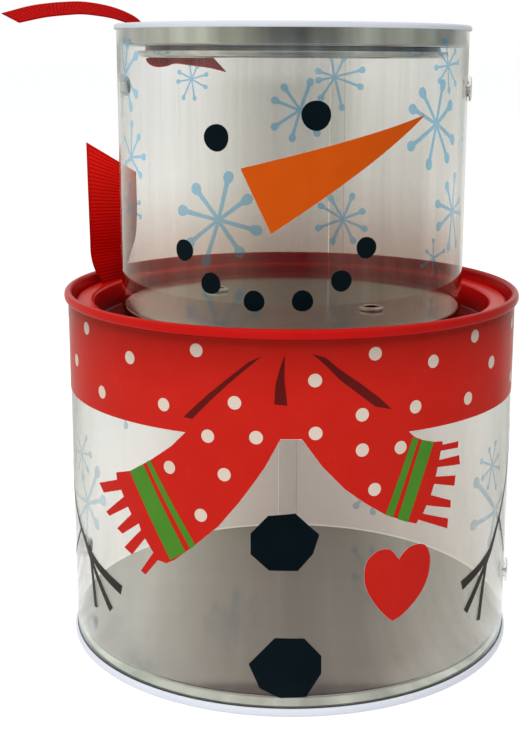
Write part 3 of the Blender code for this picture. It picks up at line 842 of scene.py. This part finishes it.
# The folded end under the upper lid: left of the axis at its front and its back edge, its front
# edge's height, half width
FOLD_ROWS = ((-41.6, -41.6, 170, 4), (-41, -41, 169, 5), (-39.8, -39.8, 168.2, 5.8),
    (-37.9, -37.9, 167.8, 6.1), (-35.5, -35.5, 168.1, 6.1), (-33.2, -33.2, 168.8, 6.1),
    (-29.4, -29.6, 168.4, 6.1), (-26.2, -26.8, 168, 6.1), (-23.4, -25, 167.6, 5.4),
    (-20.9, -23.8, 167, 4.6), (-19, -23, 166.5, 4.2))


def smooth_points(points, steps):
    """Points along a smooth curve that passes through the given ones."""
    padded = [points[0] * 2 - points[1]] + points + [points[-1] * 2 - points[-2]]
    smooth = []
    for index in range(1, len(padded) - 2):
        p0, p1, p2, p3 = padded[index - 1:index + 3]
        for step in range(steps):
            t = step / steps
            square = (p0 * 2 - p1 * 5 + p2 * 4 - p3) * t ** 2
            cube = (p1 * 3 - p0 - p2 * 3 + p3) * t ** 3
            smooth.append((p1 * 2 + (p2 - p0) * t + square + cube) / 2)
    return smooth + [points[-1]]


def even_rows(lefts, rights, spacing):
    """The two edges resampled at even steps of the ribbon's middle, and its length."""
    middles = [(a + b) / 2 for a, b in zip(lefts, rights)]
    reach = [0.0]
    for before, after in zip(middles, middles[1:]):
        reach.append(reach[-1] + (after - before).length)
    count = max(2, round(reach[-1] / spacing))
    rows, index = [], 0
    for step in range(count + 1):
        along = reach[-1] * step / count
        while index < len(reach) - 2 and reach[index + 1] < along:
            index += 1
        share = (along - reach[index]) / (reach[index + 1] - reach[index])
        rows.append((lefts[index].lerp(lefts[index + 1], share),
                     rights[index].lerp(rights[index + 1], share), along))
    return rows, reach[-1]


def ribbed_ribbon(name, lefts, rights, dip=0.0):
    """Ribbed ribbon between two edge lines. Gives back its mesh and its length."""
    rows, length = even_rows(lefts, rights, RIB_PITCH / RIB_POINTS)
    body = bmesh.new()
    rib_layer = body.verts.layers.float.new("rib")
    warp_layer = body.verts.layers.float.new("warp")
    upper, lower = [], []
    for index, (left, right, along) in enumerate(rows):
        first, last = rows[max(index - 1, 0)], rows[min(index + 1, len(rows) - 1)]
        forward = last[0] + last[1] - first[0] - first[1]
        flat = forward.cross(right - left).normalized()
        rib = abs(math.sin(math.pi * along / RIB_PITCH)) ** RIB_ROUNDNESS
        rib = rib if 0 < index < len(rows) - 1 else 0.0
        top, bottom = [], []
        for column in range(RIBBON_COLUMNS + 1):
            share = column / RIBBON_COLUMNS
            inner = 0 < column < RIBBON_COLUMNS
            middle = left.lerp(right, share) - flat * dip * math.sin(math.pi * share)
            half = RIBBON_THICKNESS / 2 - RIB_DEPTH + RIB_DEPTH * rib * inner
            for side, sign in ((top, 1), (bottom, -1)):
                vert = body.verts.new(middle + flat * half * sign)
                vert[rib_layer] = rib if inner else SELVEDGE_RIB
                vert[warp_layer] = share * RIBBON_WIDTH / WARP_PITCH
                side.append(vert)
        upper.append(top)
        lower.append(bottom)
    for row in range(len(rows) - 1):
        for column in range(RIBBON_COLUMNS):
            for grid in (upper, lower):
                body.faces.new((grid[row][column], grid[row][column + 1],
                                grid[row + 1][column + 1], grid[row + 1][column]))
        for column in (0, RIBBON_COLUMNS):
            body.faces.new((upper[row][column], upper[row + 1][column],
                            lower[row + 1][column], lower[row][column]))
    for row in (0, len(rows) - 1):
        for column in range(RIBBON_COLUMNS):
            body.faces.new((upper[row][column], upper[row][column + 1],
                            lower[row][column + 1], lower[row][column]))
    return mesh_from(body, name), length


def build_lower_ribbon():
    lines = []
    for side, shape in ((1, LOWER_RIBBON_LEFT), (-1, LOWER_RIBBON_RIGHT)):
        line = []
        for height in (-SHEET - HEM_DROP, SHEET):
            spot = LOWER_SLOT_TURN @ Vector((LOWER_SLOT_REACH, side * LOWER_SLOT_HALF, 0))
            spot.z = LOWER.top - FLANGE_DROP + height
            line.append(spot)
        line += [Vector(point) * MM for point in shape]
        lines.append(smooth_points(line, RIBBON_STEPS))
    mesh, length = ribbed_ribbon("lower_ribbon", *lines, dip=LOWER_DIP)
    ribbon = add_piece("lower_ribbon_cloth", mesh, "lower_cloth", LOWER.lid_body,
                       ("lower_ribbon",), RIBBON_CREASE)


def build_upper_ribbon():
    lines = []
    for half, shape in ((-RIBBON_WIDTH / 2, UPPER_RIBBON_NEAR), (RIBBON_WIDTH / 2, UPPER_RIBBON_FAR)):
        line = [Vector((-UPPER_SLOT_REACH, half, UPPER.well_floor + height))
                for height in (-SHEET - FIT, SHEET)]
        line += [Vector((x * MM, half, z * MM)) for x, z in shape]
        lines.append(smooth_points(line, RIBBON_STEPS))
    mesh, length = ribbed_ribbon("upper_ribbon", *lines)
    ribbon = add_piece("upper_ribbon_cloth", mesh, "upper_cloth", UPPER.lid_body,
                       ("upper_ribbon",), RIBBON_CREASE)

    back = UPPER.well_floor - SHEET - FIT - RIBBON_THICKNESS / 2
    near = smooth_points([Vector((front, -half, z)) * MM
                          for front, rear, z, half in FOLD_ROWS], FOLD_STEPS)
    far = smooth_points([Vector((rear * MM, half * MM, back))
                         for front, rear, z, half in FOLD_ROWS], FOLD_STEPS)
    mesh = ribbed_ribbon("upper_ribbon_fold", near, far)[0]
    fold = add_piece("upper_ribbon_fold", mesh, "fold_cloth", UPPER.lid_body, (),
                     RIBBON_CREASE)
    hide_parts("upper_ribbon")


# Print


def pixel_ray(pixel):
    """Direction from the photograph's camera through one of its pixels."""
    across, down = pixel[0] - CENTRE_X, pixel[1] - CENTRE_Y
    cosine, sine = math.cos(CAMERA_ROLL), math.sin(CAMERA_ROLL)
    across, down = across * cosine + down * sine, down * cosine - across * sine
    right, up = across / FOCAL_PIXELS, -down / FOCAL_PIXELS
    cosine, sine = math.cos(CAMERA_PITCH), math.sin(CAMERA_PITCH)
    return Vector((right, cosine + up * sine, up * cosine - sine))


def at_pixel(tin, pixel, far=False):
    """The unrolled place, along and up, where the tube's front or far wall shows at a pixel."""
    ray = pixel_ray(pixel)
    a = ray.x ** 2 + ray.y ** 2
    b = -2 * CAMERA_BACK * ray.y
    c = CAMERA_BACK ** 2 - tin.radius ** 2
    root = math.sqrt(max(b * b - 4 * a * c, 0.0))
    reach = (-b + (root if far else -root)) / (2 * a)
    turn = math.atan2(ray.x * reach, CAMERA_BACK - ray.y * reach)
    turn = turn % math.tau if far else turn
    return Vector((turn * tin.radius, CAMERA_UP + ray.z * reach))


def on_tube(tin, pixels, far=False):
    return [at_pixel(tin, pixel, far) for pixel in pixels]


def at_turn(tin, degrees, height_mm):
    return Vector((math.radians(degrees) * tin.radius, height_mm * MM))


def polar(angle, reach):
    return Vector((math.cos(angle), math.sin(angle))) * reach


def grown(outline, margin):
    """A closed outline moved outward by a margin."""
    area = sum(a.x * b.y - b.x * a.y for a, b in zip(outline, outline[1:] + outline[:1]))
    margin = margin if area > 0 else -margin
    moved = []
    for index, here in enumerate(outline):
        before = (here - outline[index - 1]).normalized()
        after = (outline[(index + 1) % len(outline)] - here).normalized()
        out = Vector((before.y + after.y, -before.x - after.x))
        moved.append(here + out.normalized() * margin / max(out.length / 2, 0.5))
    return moved


def printed(name, tin, outlines, colour, layer):
    """One ink on one tube: flat outlines cut into narrow strips and wrapped round it."""
    body = bmesh.new()
    for outline in outlines:
        verts = [body.verts.new((point.x, point.y, 0.0)) for point in outline]
        for triangle in geometry.tessellate_polygon([[vert.co for vert in verts]]):
            if len(set(triangle)) == 3:
                body.faces.new([verts[corner] for corner in triangle])
    strip = math.tau * tin.radius / TURN_STEPS
    low = min(vert.co.x for vert in body.verts)
    high = max(vert.co.x for vert in body.verts)
    for index in range(math.ceil(low / strip), math.floor(high / strip) + 1):
        everything = body.verts[:] + body.edges[:] + body.faces[:]
        bmesh.ops.bisect_plane(body, geom=everything, plane_co=(index * strip, 0.0, 0.0),
                               plane_no=(1.0, 0.0, 0.0), dist=TINY)
    radius = tin.radius + layer * INK_LAYER
    for vert in body.verts:
        vert.co = round_point(radius, vert.co.x / tin.radius, vert.co.y)
    bmesh.ops.remove_doubles(body, verts=body.verts, dist=TINY)
    flat_faces, edges = body.faces[:], [edge for edge in body.edges if edge.is_boundary]
    share = 1 - INK_THICKNESS / radius
    inner = {vert: body.verts.new((vert.co.x * share, vert.co.y * share, vert.co.z))
             for vert in body.verts[:]}
    for face in flat_faces:
        body.faces.new([inner[vert] for vert in reversed(face.verts)])
    for edge in edges:
        first, second = edge.verts
        body.faces.new((first, second, inner[second], inner[first]))
    add_piece(name, mesh_from(body, name), colour, tin.body)


def disc(centre, radius, points=20, wobble=0.0):
    angles = [math.tau * index / points for index in range(points)]
    return [centre + polar(angle, radius * (1 + wobble * math.sin(3 * angle + centre.x / MM)))
            for angle in angles]


# Drop at the end of a snowflake's arm, its neck and the flake's hub, as shares of its reach
FLAKE_DROP, FLAKE_NECK, FLAKE_HUB = 0.12, 0.052, 0.105
# Stretch of a drop toward the hub, and the steps of its outline
DROP_STRETCH, DROP_STEPS = 1.35, 10
# Arms of a snowflake out of the photograph's sight: direction in degrees, and share of its size
FLAKE_ARMS = ((32, 0.75), (75, 0.95), (128, 0.85), (163, 0.8), (218, 0.88), (255, 1), (306, 0.88),
    (345, 0.88))


def flake(centre, tips):
    """Outline of a snowflake: a tapering arm to each tip, with a drop at its end."""
    arms = sorted((tip - centre for tip in tips), key=lambda arm: math.atan2(arm.y, arm.x))
    size = sum(arm.length for arm in arms) / len(arms)
    drop, neck = size * FLAKE_DROP, size * FLAKE_NECK
    outline = []
    for index, arm in enumerate(arms):
        out = arm.normalized()
        side = Vector((-out.y, out.x))
        start = math.pi - math.asin(neck / drop)
        for step in range(DROP_STEPS + 1):
            swing = -start + 2 * start * step / DROP_STEPS
            stretch = DROP_STRETCH if abs(swing) > math.pi / 2 else 1.0
            reach = arm.length - drop + drop * stretch * math.cos(swing)
            outline.append(centre + out * reach + side * drop * math.sin(swing))
        following = arms[(index + 1) % len(arms)]
        angle = math.atan2(out.y, out.x)
        angle += ((math.atan2(following.y, following.x) - angle) % math.tau) / 2
        outline.append(centre + polar(angle, size * FLAKE_HUB))
    return outline


def hidden_flake(centre, size, turn):
    """A snowflake of a plain pattern, for where the photograph shows none or too little."""
    return flake(centre, [centre + polar(math.radians(direction + turn), size * share)
                          for direction, share in FLAKE_ARMS])


def limb(points, widths):
    """Outline of a tapering line through the points."""
    left, right = [], []
    for index, here in enumerate(points):
        before, after = points[max(index - 1, 0)], points[min(index + 1, len(points) - 1)]
        along = (after - before).normalized()
        side = Vector((-along.y, along.x)) * widths[index] / 2
        left.append(here + side)
        right.append(here - side)
    return left + right[::-1]


# Head print, in pixels: centre, then diameter in millimetres
COALS = (
    ((216.2, 137.7), 7),
    ((316.4, 115.5), 7.6),
    ((184.6, 250), 5.7),
    ((210.9, 283.4), 5.7),
    ((254, 301.3), 5.6),
    ((302.5, 301), 5.6),
    ((341.3, 280.9), 5.6),
    ((366.4, 247.6), 5.7),
)
CARROT = ((425.4, 114.5), (240.5, 168.5), (271.1, 234.1))

# Snowflakes in pixels: the middle, then the ends of the arms, on the near or the far wall
HEAD_NEAR_FLAKES = (
    ((449, 65.5), (447, 38), (439, 50), (435, 68), (439, 83), (450, 94), (457, 86), (460, 62),
     (457, 49)),
    ((124, 74), (120, 37), (127, 39), (137, 53), (137, 97), (131, 112), (121, 118)),
    ((130.5, 157), (131, 120), (139, 134), (145, 157), (141, 178), (123, 135), (124, 165)),
    ((453, 211), (447, 182), (456, 172), (461, 198), (462, 214), (457, 248), (449, 252), (437, 229),
     (436, 203)),
)
HEAD_FAR_FLAKES = (
    ((218.2, 220), (229.5, 171), (192.5, 184), (177.5, 209), (185, 247), (204, 267), (243, 257),
     (262, 232), (252, 196)),
    ((300, 110), (312, 78), (282, 84), (271, 99), (271, 129), (291, 142), (319.5, 136), (328, 107)),
    ((335, 77), (366, 69), (364, 88), (343, 111), (319, 101), (315, 81), (315, 70), (330, 52),
     (346, 55)),
    ((343, 219), (354, 193), (329, 195), (318, 204), (315, 229), (331, 245), (355, 244), (368, 230),
     (366, 210)),
    ((437, 124), (444.5, 79), (421, 88), (409.5, 107), (408, 149), (428.5, 170), (449, 163),
     (455, 142), (453, 102)),
    ((191, 79), (177, 71), (175.5, 82), (182, 100), (194.5, 101), (207, 88), (208, 74), (198, 64),
     (189, 61)),
    ((130, 207), (129, 182), (140, 202), (141, 218), (131, 231), (125, 214), (125, 196)),
    ((434, 258), (434, 238), (446, 250), (441, 273), (433, 277), (421, 267), (426, 250)),
)
BODY_NEAR_FLAKES = (
    ((81, 453), (76, 432), (86, 436), (91, 455), (88, 473), (83, 481), (78, 470), (74.5, 450)),
    ((87, 503), (98, 468), (105, 500), (98, 529), (86, 540), (77, 525), (75, 490), (80, 470)),
    ((493, 466), (490, 447), (497, 440), (500, 454), (501, 468), (497, 489), (488, 491), (482, 480),
     (481, 461)),
    ((496, 511), (475, 480), (471, 527), (489, 548), (503, 492), (502, 528)),
)
BODY_FAR_FLAKES = (
    ((122, 404), (126, 429), (111, 412), (139, 414), (143, 400), (134, 386), (118, 382),
     (104, 392)),
    ((374, 485), (354, 508), (373, 515), (392, 505), (398, 485), (388, 465), (370, 458),
     (353, 478)),
)
# Snowflakes out of sight: degrees from the front, height and size in millimetres, turn in degrees
HEAD_HIDDEN_FLAKES = ((88, 147.5, 6.8, 16),)
BODY_HIDDEN_FLAKES = ((-160.8, 42.5, 12.5, 4), (168, 78, 8, 10), (-176, 70, 7, 20))

# Body print, in pixels, and lengths in millimetres
SCARF_EDGE_HEIGHT = 76.3
LEFT_TAIL = ((186.2, 432), (171.5, 445.9), (151, 459.8), (130.4, 470.8), (116.5, 472.3),
    (117.2, 479.6), (99.6, 482.6), (104.1, 492.5), (121.5, 489.7), (124.1, 496.6), (106.6, 511.6),
    (109.9, 515.8), (128.2, 506.6), (131.6, 514.1), (117.4, 528.3), (122.9, 533.6), (139.1, 523.3),
    (141.1, 529.9), (124.6, 547.1), (132.4, 554.4), (145.2, 538.3), (153.5, 552.4), (141.1, 570.4),
    (145.7, 574.5), (158.2, 559.9), (166.5, 563.2), (174.8, 559.9), (196.5, 544), (218.1, 526.6),
    (239.8, 501.6), (254.7, 481.7), (265.4, 466.4), (280.4, 439.1))
RIGHT_TAIL = ((301.9, 439.1), (322.6, 467), (344.9, 489.3), (365.7, 503.6), (385.6, 514.8),
    (408.7, 522), (415.9, 523.6), (418.3, 519.6), (447, 528.3), (447.8, 518.3), (422.7, 513.5),
    (426.2, 505.2), (450.2, 507.6), (450.5, 500.1), (430.7, 494.9), (433.9, 483.7), (454.1, 485.6),
    (455.3, 475.3), (435.5, 476.5), (437.4, 467), (459.7, 464.1), (458.9, 455), (439, 459.8),
    (440.6, 450.7), (457.8, 447.5), (458.1, 441.1), (442.5, 444.6), (442.2, 441.1), (434.2, 441.8),
    (423, 439.9), (414.3, 436.7), (407.9, 430.3))
STRIPES = (
    ((130.4, 470.8), (143.6, 464.2), (185.7, 551.6), (170.7, 559.9)),
    ((146.5, 462), (150.2, 459.8), (195.7, 544.9), (190.7, 549)),
    ((412.7, 437.5), (418.3, 439.1), (392.5, 517.2), (385.6, 514)),
    ((421.5, 439.9), (433.4, 441.8), (407.4, 522), (397.2, 518.8)),
)
FOLDS = (
    ((261.3, 356.5), (248.7, 362), (229, 377.4), (209.4, 393.1), (189.7, 410.9), (183.8, 416.8),
     (192.4, 418.7), (209.4, 401.5), (229, 383.2), (248.7, 366.8)),
    ((284.8, 355), (284.4, 379.4), (287.3, 405.7), (274.3, 404.2), (275.6, 384), (280.2, 367.6)),
    ((311.7, 353.8), (325.5, 357.7), (339.3, 369), (359, 382.5), (378.7, 397.1), (391.5, 409),
     (374.7, 406.1), (355, 391.2), (339.3, 379.4), (327.5, 367.2), (317.6, 358)),
)
SCARF_DOTS = ((87, 328.2), (77.3, 360), (130.1, 357.5), (102.5, 392), (196.4, 350.2),
    (163.9, 404.5), (234.6, 402.7), (207.9, 436), (256.1, 437.5), (169.7, 467.2), (224.3, 474.5),
    (201, 515.1), (375.2, 353.6), (315.1, 380.4), (433.1, 361.2), (474.6, 336), (491, 362),
    (362.2, 414.7), (415.4, 406.7), (467.7, 398.2), (315.6, 433.3), (362.2, 449.9), (400.4, 447.4),
    (374.4, 489.3))
# Dots of the band out of the front's sight: degrees from the front and height
BAND_DOTS = ((72, 97.5), (73.5, 81.5), (86, 90), (99, 98.5), (104, 83), (117, 92.5), (131, 99),
    (134, 83), (148, 91.5), (161, 98.5), (165, 82.5), (178, 91), (-169, 99), (-165, 83),
    (-152, 91.5), (-139, 98.5), (-135, 83), (-122, 91), (-109, 98.5), (-105, 83), (-92, 91.5),
    (-80, 98.5), (-77, 81))
DOT_DIAMETER = 3.55
BUTTONS = (
    ((268, 515.8), (295.5, 513.5), (319.4, 534.7), (313, 553.9), (297.9, 570.9), (268.9, 570.4),
     (250.6, 554), (250.6, 533.3)),
    ((274.7, 638.1), (304.3, 638.4), (321.3, 655.7), (321.3, 673.2), (305.9, 696.8), (280, 698),
     (259.7, 688), (248.6, 663.9)),
)
HEART = (
    ((398.8, 559.4), (390.5, 549.8), (378.5, 550.6), (367.5, 560.5), (364.1, 575), (366.6, 590),
     (374.8, 604), (384.5, 615)),
    ((392, 620.9), (400.5, 615.5), (411.5, 604.5), (421.5, 590.5), (428, 574.5), (429.8, 557.5),
     (426.5, 546.5), (420, 543.6), (410, 546.5), (402.5, 553.5)),
)

# Twig arms: degrees from the front, height and width in millimetres
LEFT_ARM = ((-97.5, 74, 0.7), (-94, 69, 0.7), (-90.5, 64, 0.8), (-87, 58, 0.9), (-82.5, 52, 1),
    (-78, 46.6, 1.3), (-73.2, 42, 1.5), (-68.2, 38.4, 1.7), (-64.2, 35.6, 1.9), (-61.5, 33.2, 2.1),
    (-58.6, 30.2, 2.6))
LEFT_TWIGS = (
    ((-62, 33.8, 1.8), (-55.5, 30.6, 2.4), (-45, 27.2, 2.9)),
    ((-60.5, 32.2, 1.5), (-55.5, 26.5, 2), (-49.5, 19.8, 2.3)),
    ((-59.8, 31.4, 1.5), (-58.6, 25, 1.8), (-57.4, 17.4, 2)),
    ((-67, 37.4, 0.9), (-73, 30.5, 0.7), (-78.5, 24.8, 0.5)),
)
RIGHT_ARM = ((88, 74, 0.6), (84, 67.5, 0.7), (79.5, 61, 0.8), (75.8, 55, 0.9), (72.8, 50, 1),
    (69.9, 46.4, 1.3), (66.5, 42.3, 1.5), (62.9, 37.9, 1.8), (60.4, 34.5, 2.1), (56.6, 30.7, 2.6))
RIGHT_TWIGS = (
    ((60, 34.4, 1.8), (54, 31.4, 2.4), (46.1, 28.7, 2.9)),
    ((58.6, 32.8, 1.5), (53.5, 27, 2), (48, 20.4, 2.3)),
    ((57.8, 32.4, 1.5), (55.8, 24, 1.8), (54.3, 15.3, 2)),
    ((66, 41.6, 0.9), (70.5, 34, 0.7), (74.5, 28, 0.5)),
)


def twig(tin, rows):
    points = [at_turn(tin, degrees, height) for degrees, height, width in rows]
    return limb(points, [width * MM for degrees, height, width in rows])


def print_flakes(name, tin, near, far, hidden, colour):
    shapes = []
    for wall, is_far in ((near, False), (far, True)):
        for pixels in wall:
            middle, *tips = on_tube(tin, pixels, is_far)
            shapes.append(flake(middle, tips))
    shapes += [hidden_flake(at_turn(tin, degrees, height), size * MM, turn)
               for degrees, height, size, turn in hidden]
    for index, shape in enumerate(shapes, 1):
        printed(f"{name}_flake_{index:02}", tin, [shape], colour, INSIDE_LAYER)


def print_head():
    tin = UPPER
    carrot = on_tube(tin, CARROT)
    printed("carrot_under", tin, [grown(carrot, UNDERPRINT)], "white", UNDER_LAYER)
    printed("carrot_nose", tin, [carrot], "orange", COLOUR_LAYER)
    coals = [disc(at_pixel(tin, pixel), size * MM / 2, points=28, wobble=0.02)
             for pixel, size in COALS]
    printed("coals", tin, coals, "coal", COLOUR_LAYER)
    print_flakes("head", tin, HEAD_NEAR_FLAKES, HEAD_FAR_FLAKES, HEAD_HIDDEN_FLAKES, "ice")


def print_body():
    tin = LOWER
    edge = SCARF_EDGE_HEIGHT * MM
    half_way = math.pi * tin.radius
    top = tin.top - tin.bead_height + BEAD_OVERLAP

    def band(low):
        return [Vector(corner) for corner in ((-half_way, low), (half_way, low), (half_way, top),
                                              (-half_way, top))]

    left, right = on_tube(tin, LEFT_TAIL), on_tube(tin, RIGHT_TAIL)
    left[0].y = right[-1].y = edge + TAIL_OVERLAP
    tails = left + right
    printed("scarf_under", tin, [band(edge - WHITE_OVERLAP)], "white", UNDER_LAYER)
    printed("scarf_tails_under", tin, [grown(tails, UNDERPRINT)], "white",
            UNDER_LAYER + TAIL_LIFT)
    printed("scarf_band", tin, [band(edge)], "red", COLOUR_LAYER)
    printed("scarf_tails", tin, [tails], "red", COLOUR_LAYER + TAIL_LIFT)
    for name, shapes, colour in (("stripes", STRIPES, "green"), ("folds", FOLDS, "dark_red")):
        printed(f"scarf_{name}", tin, [on_tube(tin, shape) for shape in shapes], colour,
                OVER_LAYER)
    spots = on_tube(tin, SCARF_DOTS) + [at_turn(tin, *spot) for spot in BAND_DOTS]
    printed("scarf_dots", tin, [disc(spot, DOT_DIAMETER * MM / 2) for spot in spots], "cream",
            OVER_LAYER)
    printed("buttons", tin, [on_tube(tin, shape) for shape in BUTTONS], "coal", COLOUR_LAYER)
    lobes = [smooth_points(on_tube(tin, lobe + after[:1]), steps=4)[:-1]
             for lobe, after in zip(HEART, HEART[::-1])]
    heart = lobes[0] + lobes[1]
    printed("heart_under", tin, [grown(heart, UNDERPRINT)], "white", UNDER_LAYER)
    printed("heart", tin, [heart], "red", COLOUR_LAYER)
    printed("twig_arms", tin, [twig(tin, LEFT_ARM), twig(tin, RIGHT_ARM)], "twig", COLOUR_LAYER)
    for index, rows in enumerate(LEFT_TWIGS + RIGHT_TWIGS, 1):
        printed(f"twig_{index}", tin, [twig(tin, rows)], "twig",
                COLOUR_LAYER + TAIL_LIFT + TWIG_LIFT * index)
    print_flakes("body", tin, BODY_NEAR_FLAKES, BODY_FAR_FLAKES, BODY_HIDDEN_FLAKES, "pale_ice")


# Stage

FLOOR_SIZE, FLOOR_DROP = 160, 0.05 * MM
FLOOR_TONE, SEEN_TONE, SEEN_GLOW = (0.80,) * 3, (0.40,) * 3, 0.755
SKY_COLOUR, SKY_STRENGTH = (0.95, 0.97, 1), 0.62


def photo_camera():
    data = bpy.data.cameras.new("camera")
    data.sensor_width = SENSOR_MM
    data.lens = FOCAL_PIXELS * SENSOR_MM / PHOTO_HEIGHT
    data.shift_x = (PHOTO_WIDTH / 2 - CENTRE_X) / PHOTO_HEIGHT
    data.shift_y = (CENTRE_Y - PHOTO_HEIGHT / 2) / PHOTO_HEIGHT
    data.clip_start, data.clip_end = CLIP_START, CLIP_END
    spot = Matrix.Translation(AXIS + Vector((0.0, -CAMERA_BACK, CAMERA_UP)))
    tilt = Matrix.Rotation(math.pi / 2 - CAMERA_PITCH, 4, "X") @ Matrix.Rotation(CAMERA_ROLL, 4, "Z")
    bpy.context.scene.camera = new_object("camera", data, spot @ tilt)


def build_floor():
    body = bmesh.new()
    bmesh.ops.create_grid(body, x_segments=1, y_segments=1, size=FLOOR_SIZE / 2)
    floor = new_object("floor", mesh_from(body, "floor"), Matrix.Translation((0, 0, -FLOOR_DROP)))
    nodes = Nodes("floor_white")
    glow = nodes.make("Emission", (1, 1, 1), SEEN_GLOW)
    shown = nodes.make("AddShader", nodes.make("BsdfDiffuse", SEEN_TONE), glow)
    floor.data.materials.append(nodes.surface(nodes.make(
        "MixShader", nodes.background_ray(), nodes.make("BsdfDiffuse", FLOOR_TONE), shown)))


def build_world():
    nodes = Nodes("studio", "worlds")
    soft = nodes.make("Background", SKY_COLOUR, SKY_STRENGTH)
    white = nodes.make("Background", (1, 1, 1), 1)
    bpy.context.scene.world = nodes.surface(
        nodes.make("MixShader", nodes.background_ray(), soft, white))


# The dim room round the tins, seen in gloss and metal alone, and the step of its wall in degrees
ROOM_RADIUS, ROOM_HEIGHT, ROOM_FLOOR_START, ROOM_STEP = 1.3, 0.95, 0.068, 5
# Reaches from the axis between which the room's floor passes from white to the wall's tones
ROOM_NEAR = (0.075, 0.20)
# The strip of light on the wall, where the table's far edge would show: height and strength
ROOM_STRIP = ((0.135, 0), (0.15, 1), (0.18, 1), (0.192, 0.35), (0.2, 0.12), (0.212, 0))
# Tones of the wall and of the strip: degrees from the front, and colour
ROOM_TONES = ((-180, 0.46, 0.45, 0.42), (-176, 0.5, 0.49, 0.45), (-174, 0.64, 0.63, 0.58),
    (-171, 0.88, 0.87, 0.82), (-155, 0.92, 0.92, 0.88), (-143, 0.62, 0.62, 0.56),
    (-110, 0.56, 0.57, 0.49), (-60, 0.74, 0.77, 0.64), (-38, 0.62, 0.64, 0.52),
    (-12, 0.19, 0.2, 0.19), (8, 0.155, 0.165, 0.16), (35, 0.5, 0.52, 0.46), (60, 0.54, 0.56, 0.48),
    (110, 0.36, 0.38, 0.33), (145, 0.6, 0.6, 0.55), (155, 0.9, 0.9, 0.85), (171, 0.88, 0.87, 0.82),
    (174, 0.64, 0.63, 0.58), (176, 0.5, 0.49, 0.45), (180, 0.46, 0.45, 0.42))
STRIP_TONES = ((-180, 0.13, 0.15, 0.16), (-172, 0.13, 0.15, 0.16), (-166, 0.6, 0.58, 0.54),
    (-143, 0.5, 0.5, 0.46), (-110, 0.52, 0.47, 0.43), (-60, 1.15, 1, 0.96), (-30, 1.25, 1.2, 1.2),
    (0, 1.6, 1.63, 1.75), (30, 1.2, 1.25, 1.3), (60, 0.75, 0.8, 0.85), (110, 0.4, 0.45, 0.5),
    (145, 0.45, 0.46, 0.44), (166, 0.6, 0.58, 0.54), (172, 0.13, 0.15, 0.16),
    (180, 0.13, 0.15, 0.16))


def build_room():
    """A round room whose walls have soft upright bands. It hides nothing from the camera."""
    body = bmesh.new()
    profile = ((ROOM_FLOOR_START, MM), (ROOM_RADIUS, MM), (ROOM_RADIUS, ROOM_HEIGHT))
    rows = [[body.verts.new(round_point(radius, math.radians(degrees), height))
             for radius, height in profile] for degrees in range(-180, 180, ROOM_STEP)]
    for before, after in zip(rows, rows[1:] + rows[:1]):
        join_rows(body, before, after, closed=False)
    mesh = mesh_from(body, "room")
    room = new_object("room", mesh, Matrix.Translation(AXIS))
    for sense in ("camera", "diffuse", "transmission", "shadow"):
        setattr(room, f"visible_{sense}", False)

    nodes = Nodes("room_wall")
    x, y, z = nodes.axes()
    turn = nodes.make("Math", x, nodes.make("Math", y, -1, operation="MULTIPLY"),
                      operation="ARCTAN2")
    around = nodes.share(turn, -math.pi, math.pi)
    wall, strip = (nodes.ramp(around, tones, -180, 180) for tones in (ROOM_TONES, STRIP_TONES))
    at_strip = nodes.ramp(nodes.share(z, 0, ROOM_HEIGHT), ROOM_STRIP, 0, ROOM_HEIGHT)
    reach = nodes.make("VectorMath", nodes.make("CombineXYZ", x, y), operation="LENGTH")
    near = nodes.spread(reach, 1, 0, *ROOM_NEAR)
    tone = nodes.blend(near, nodes.blend(at_strip, wall, strip), (1, 1, 1))
    bands = nodes.noise(5, 3, 0.6, nodes.round_place(0.1))
    strength = nodes.spread(bands, 0.75, 1.25, 0.35, 0.65)
    mesh.materials.append(nodes.surface(nodes.make("Emission", tone, strength)))


# Lights: place, side and power. All point at the middle of the tins
LIGHT_TARGET_HEIGHT = 0.10
LIGHTS = {"key": ((-0.60, -1.1, 0.9), 0.8, 10.2), "fill": ((0.95, -0.8, 0.7), 0.7, 1.2),
          "top": ((0.0, 0.3, 1.5), 1.2, 5)}


def area_light(name, spot, side, power):
    data = bpy.data.lights.new(name, "AREA")
    data.shape = "RECTANGLE"
    data.size = data.size_y = side
    data.energy = power
    turn = (Vector((AXIS.x, 0, LIGHT_TARGET_HEIGHT)) - Vector(spot)).to_track_quat("-Z", "Y")
    light = new_object(name, data, Matrix.Translation(spot) @ turn.to_matrix().to_4x4())
    light.visible_glossy = False


build_tins()
build_lids()
build_lower_ribbon()
build_upper_ribbon()
print_head()
print_body()
photo_camera()
build_floor()
build_world()
build_room()
for light_name, values in LIGHTS.items():
    area_light(light_name, *values)

bpy.context.scene.view_settings.view_transform = "Standard"
# A path through both walls of a tin and its print crosses more clear faces than the usual eight
bpy.context.scene.cycles.transparent_max_bounces = 24
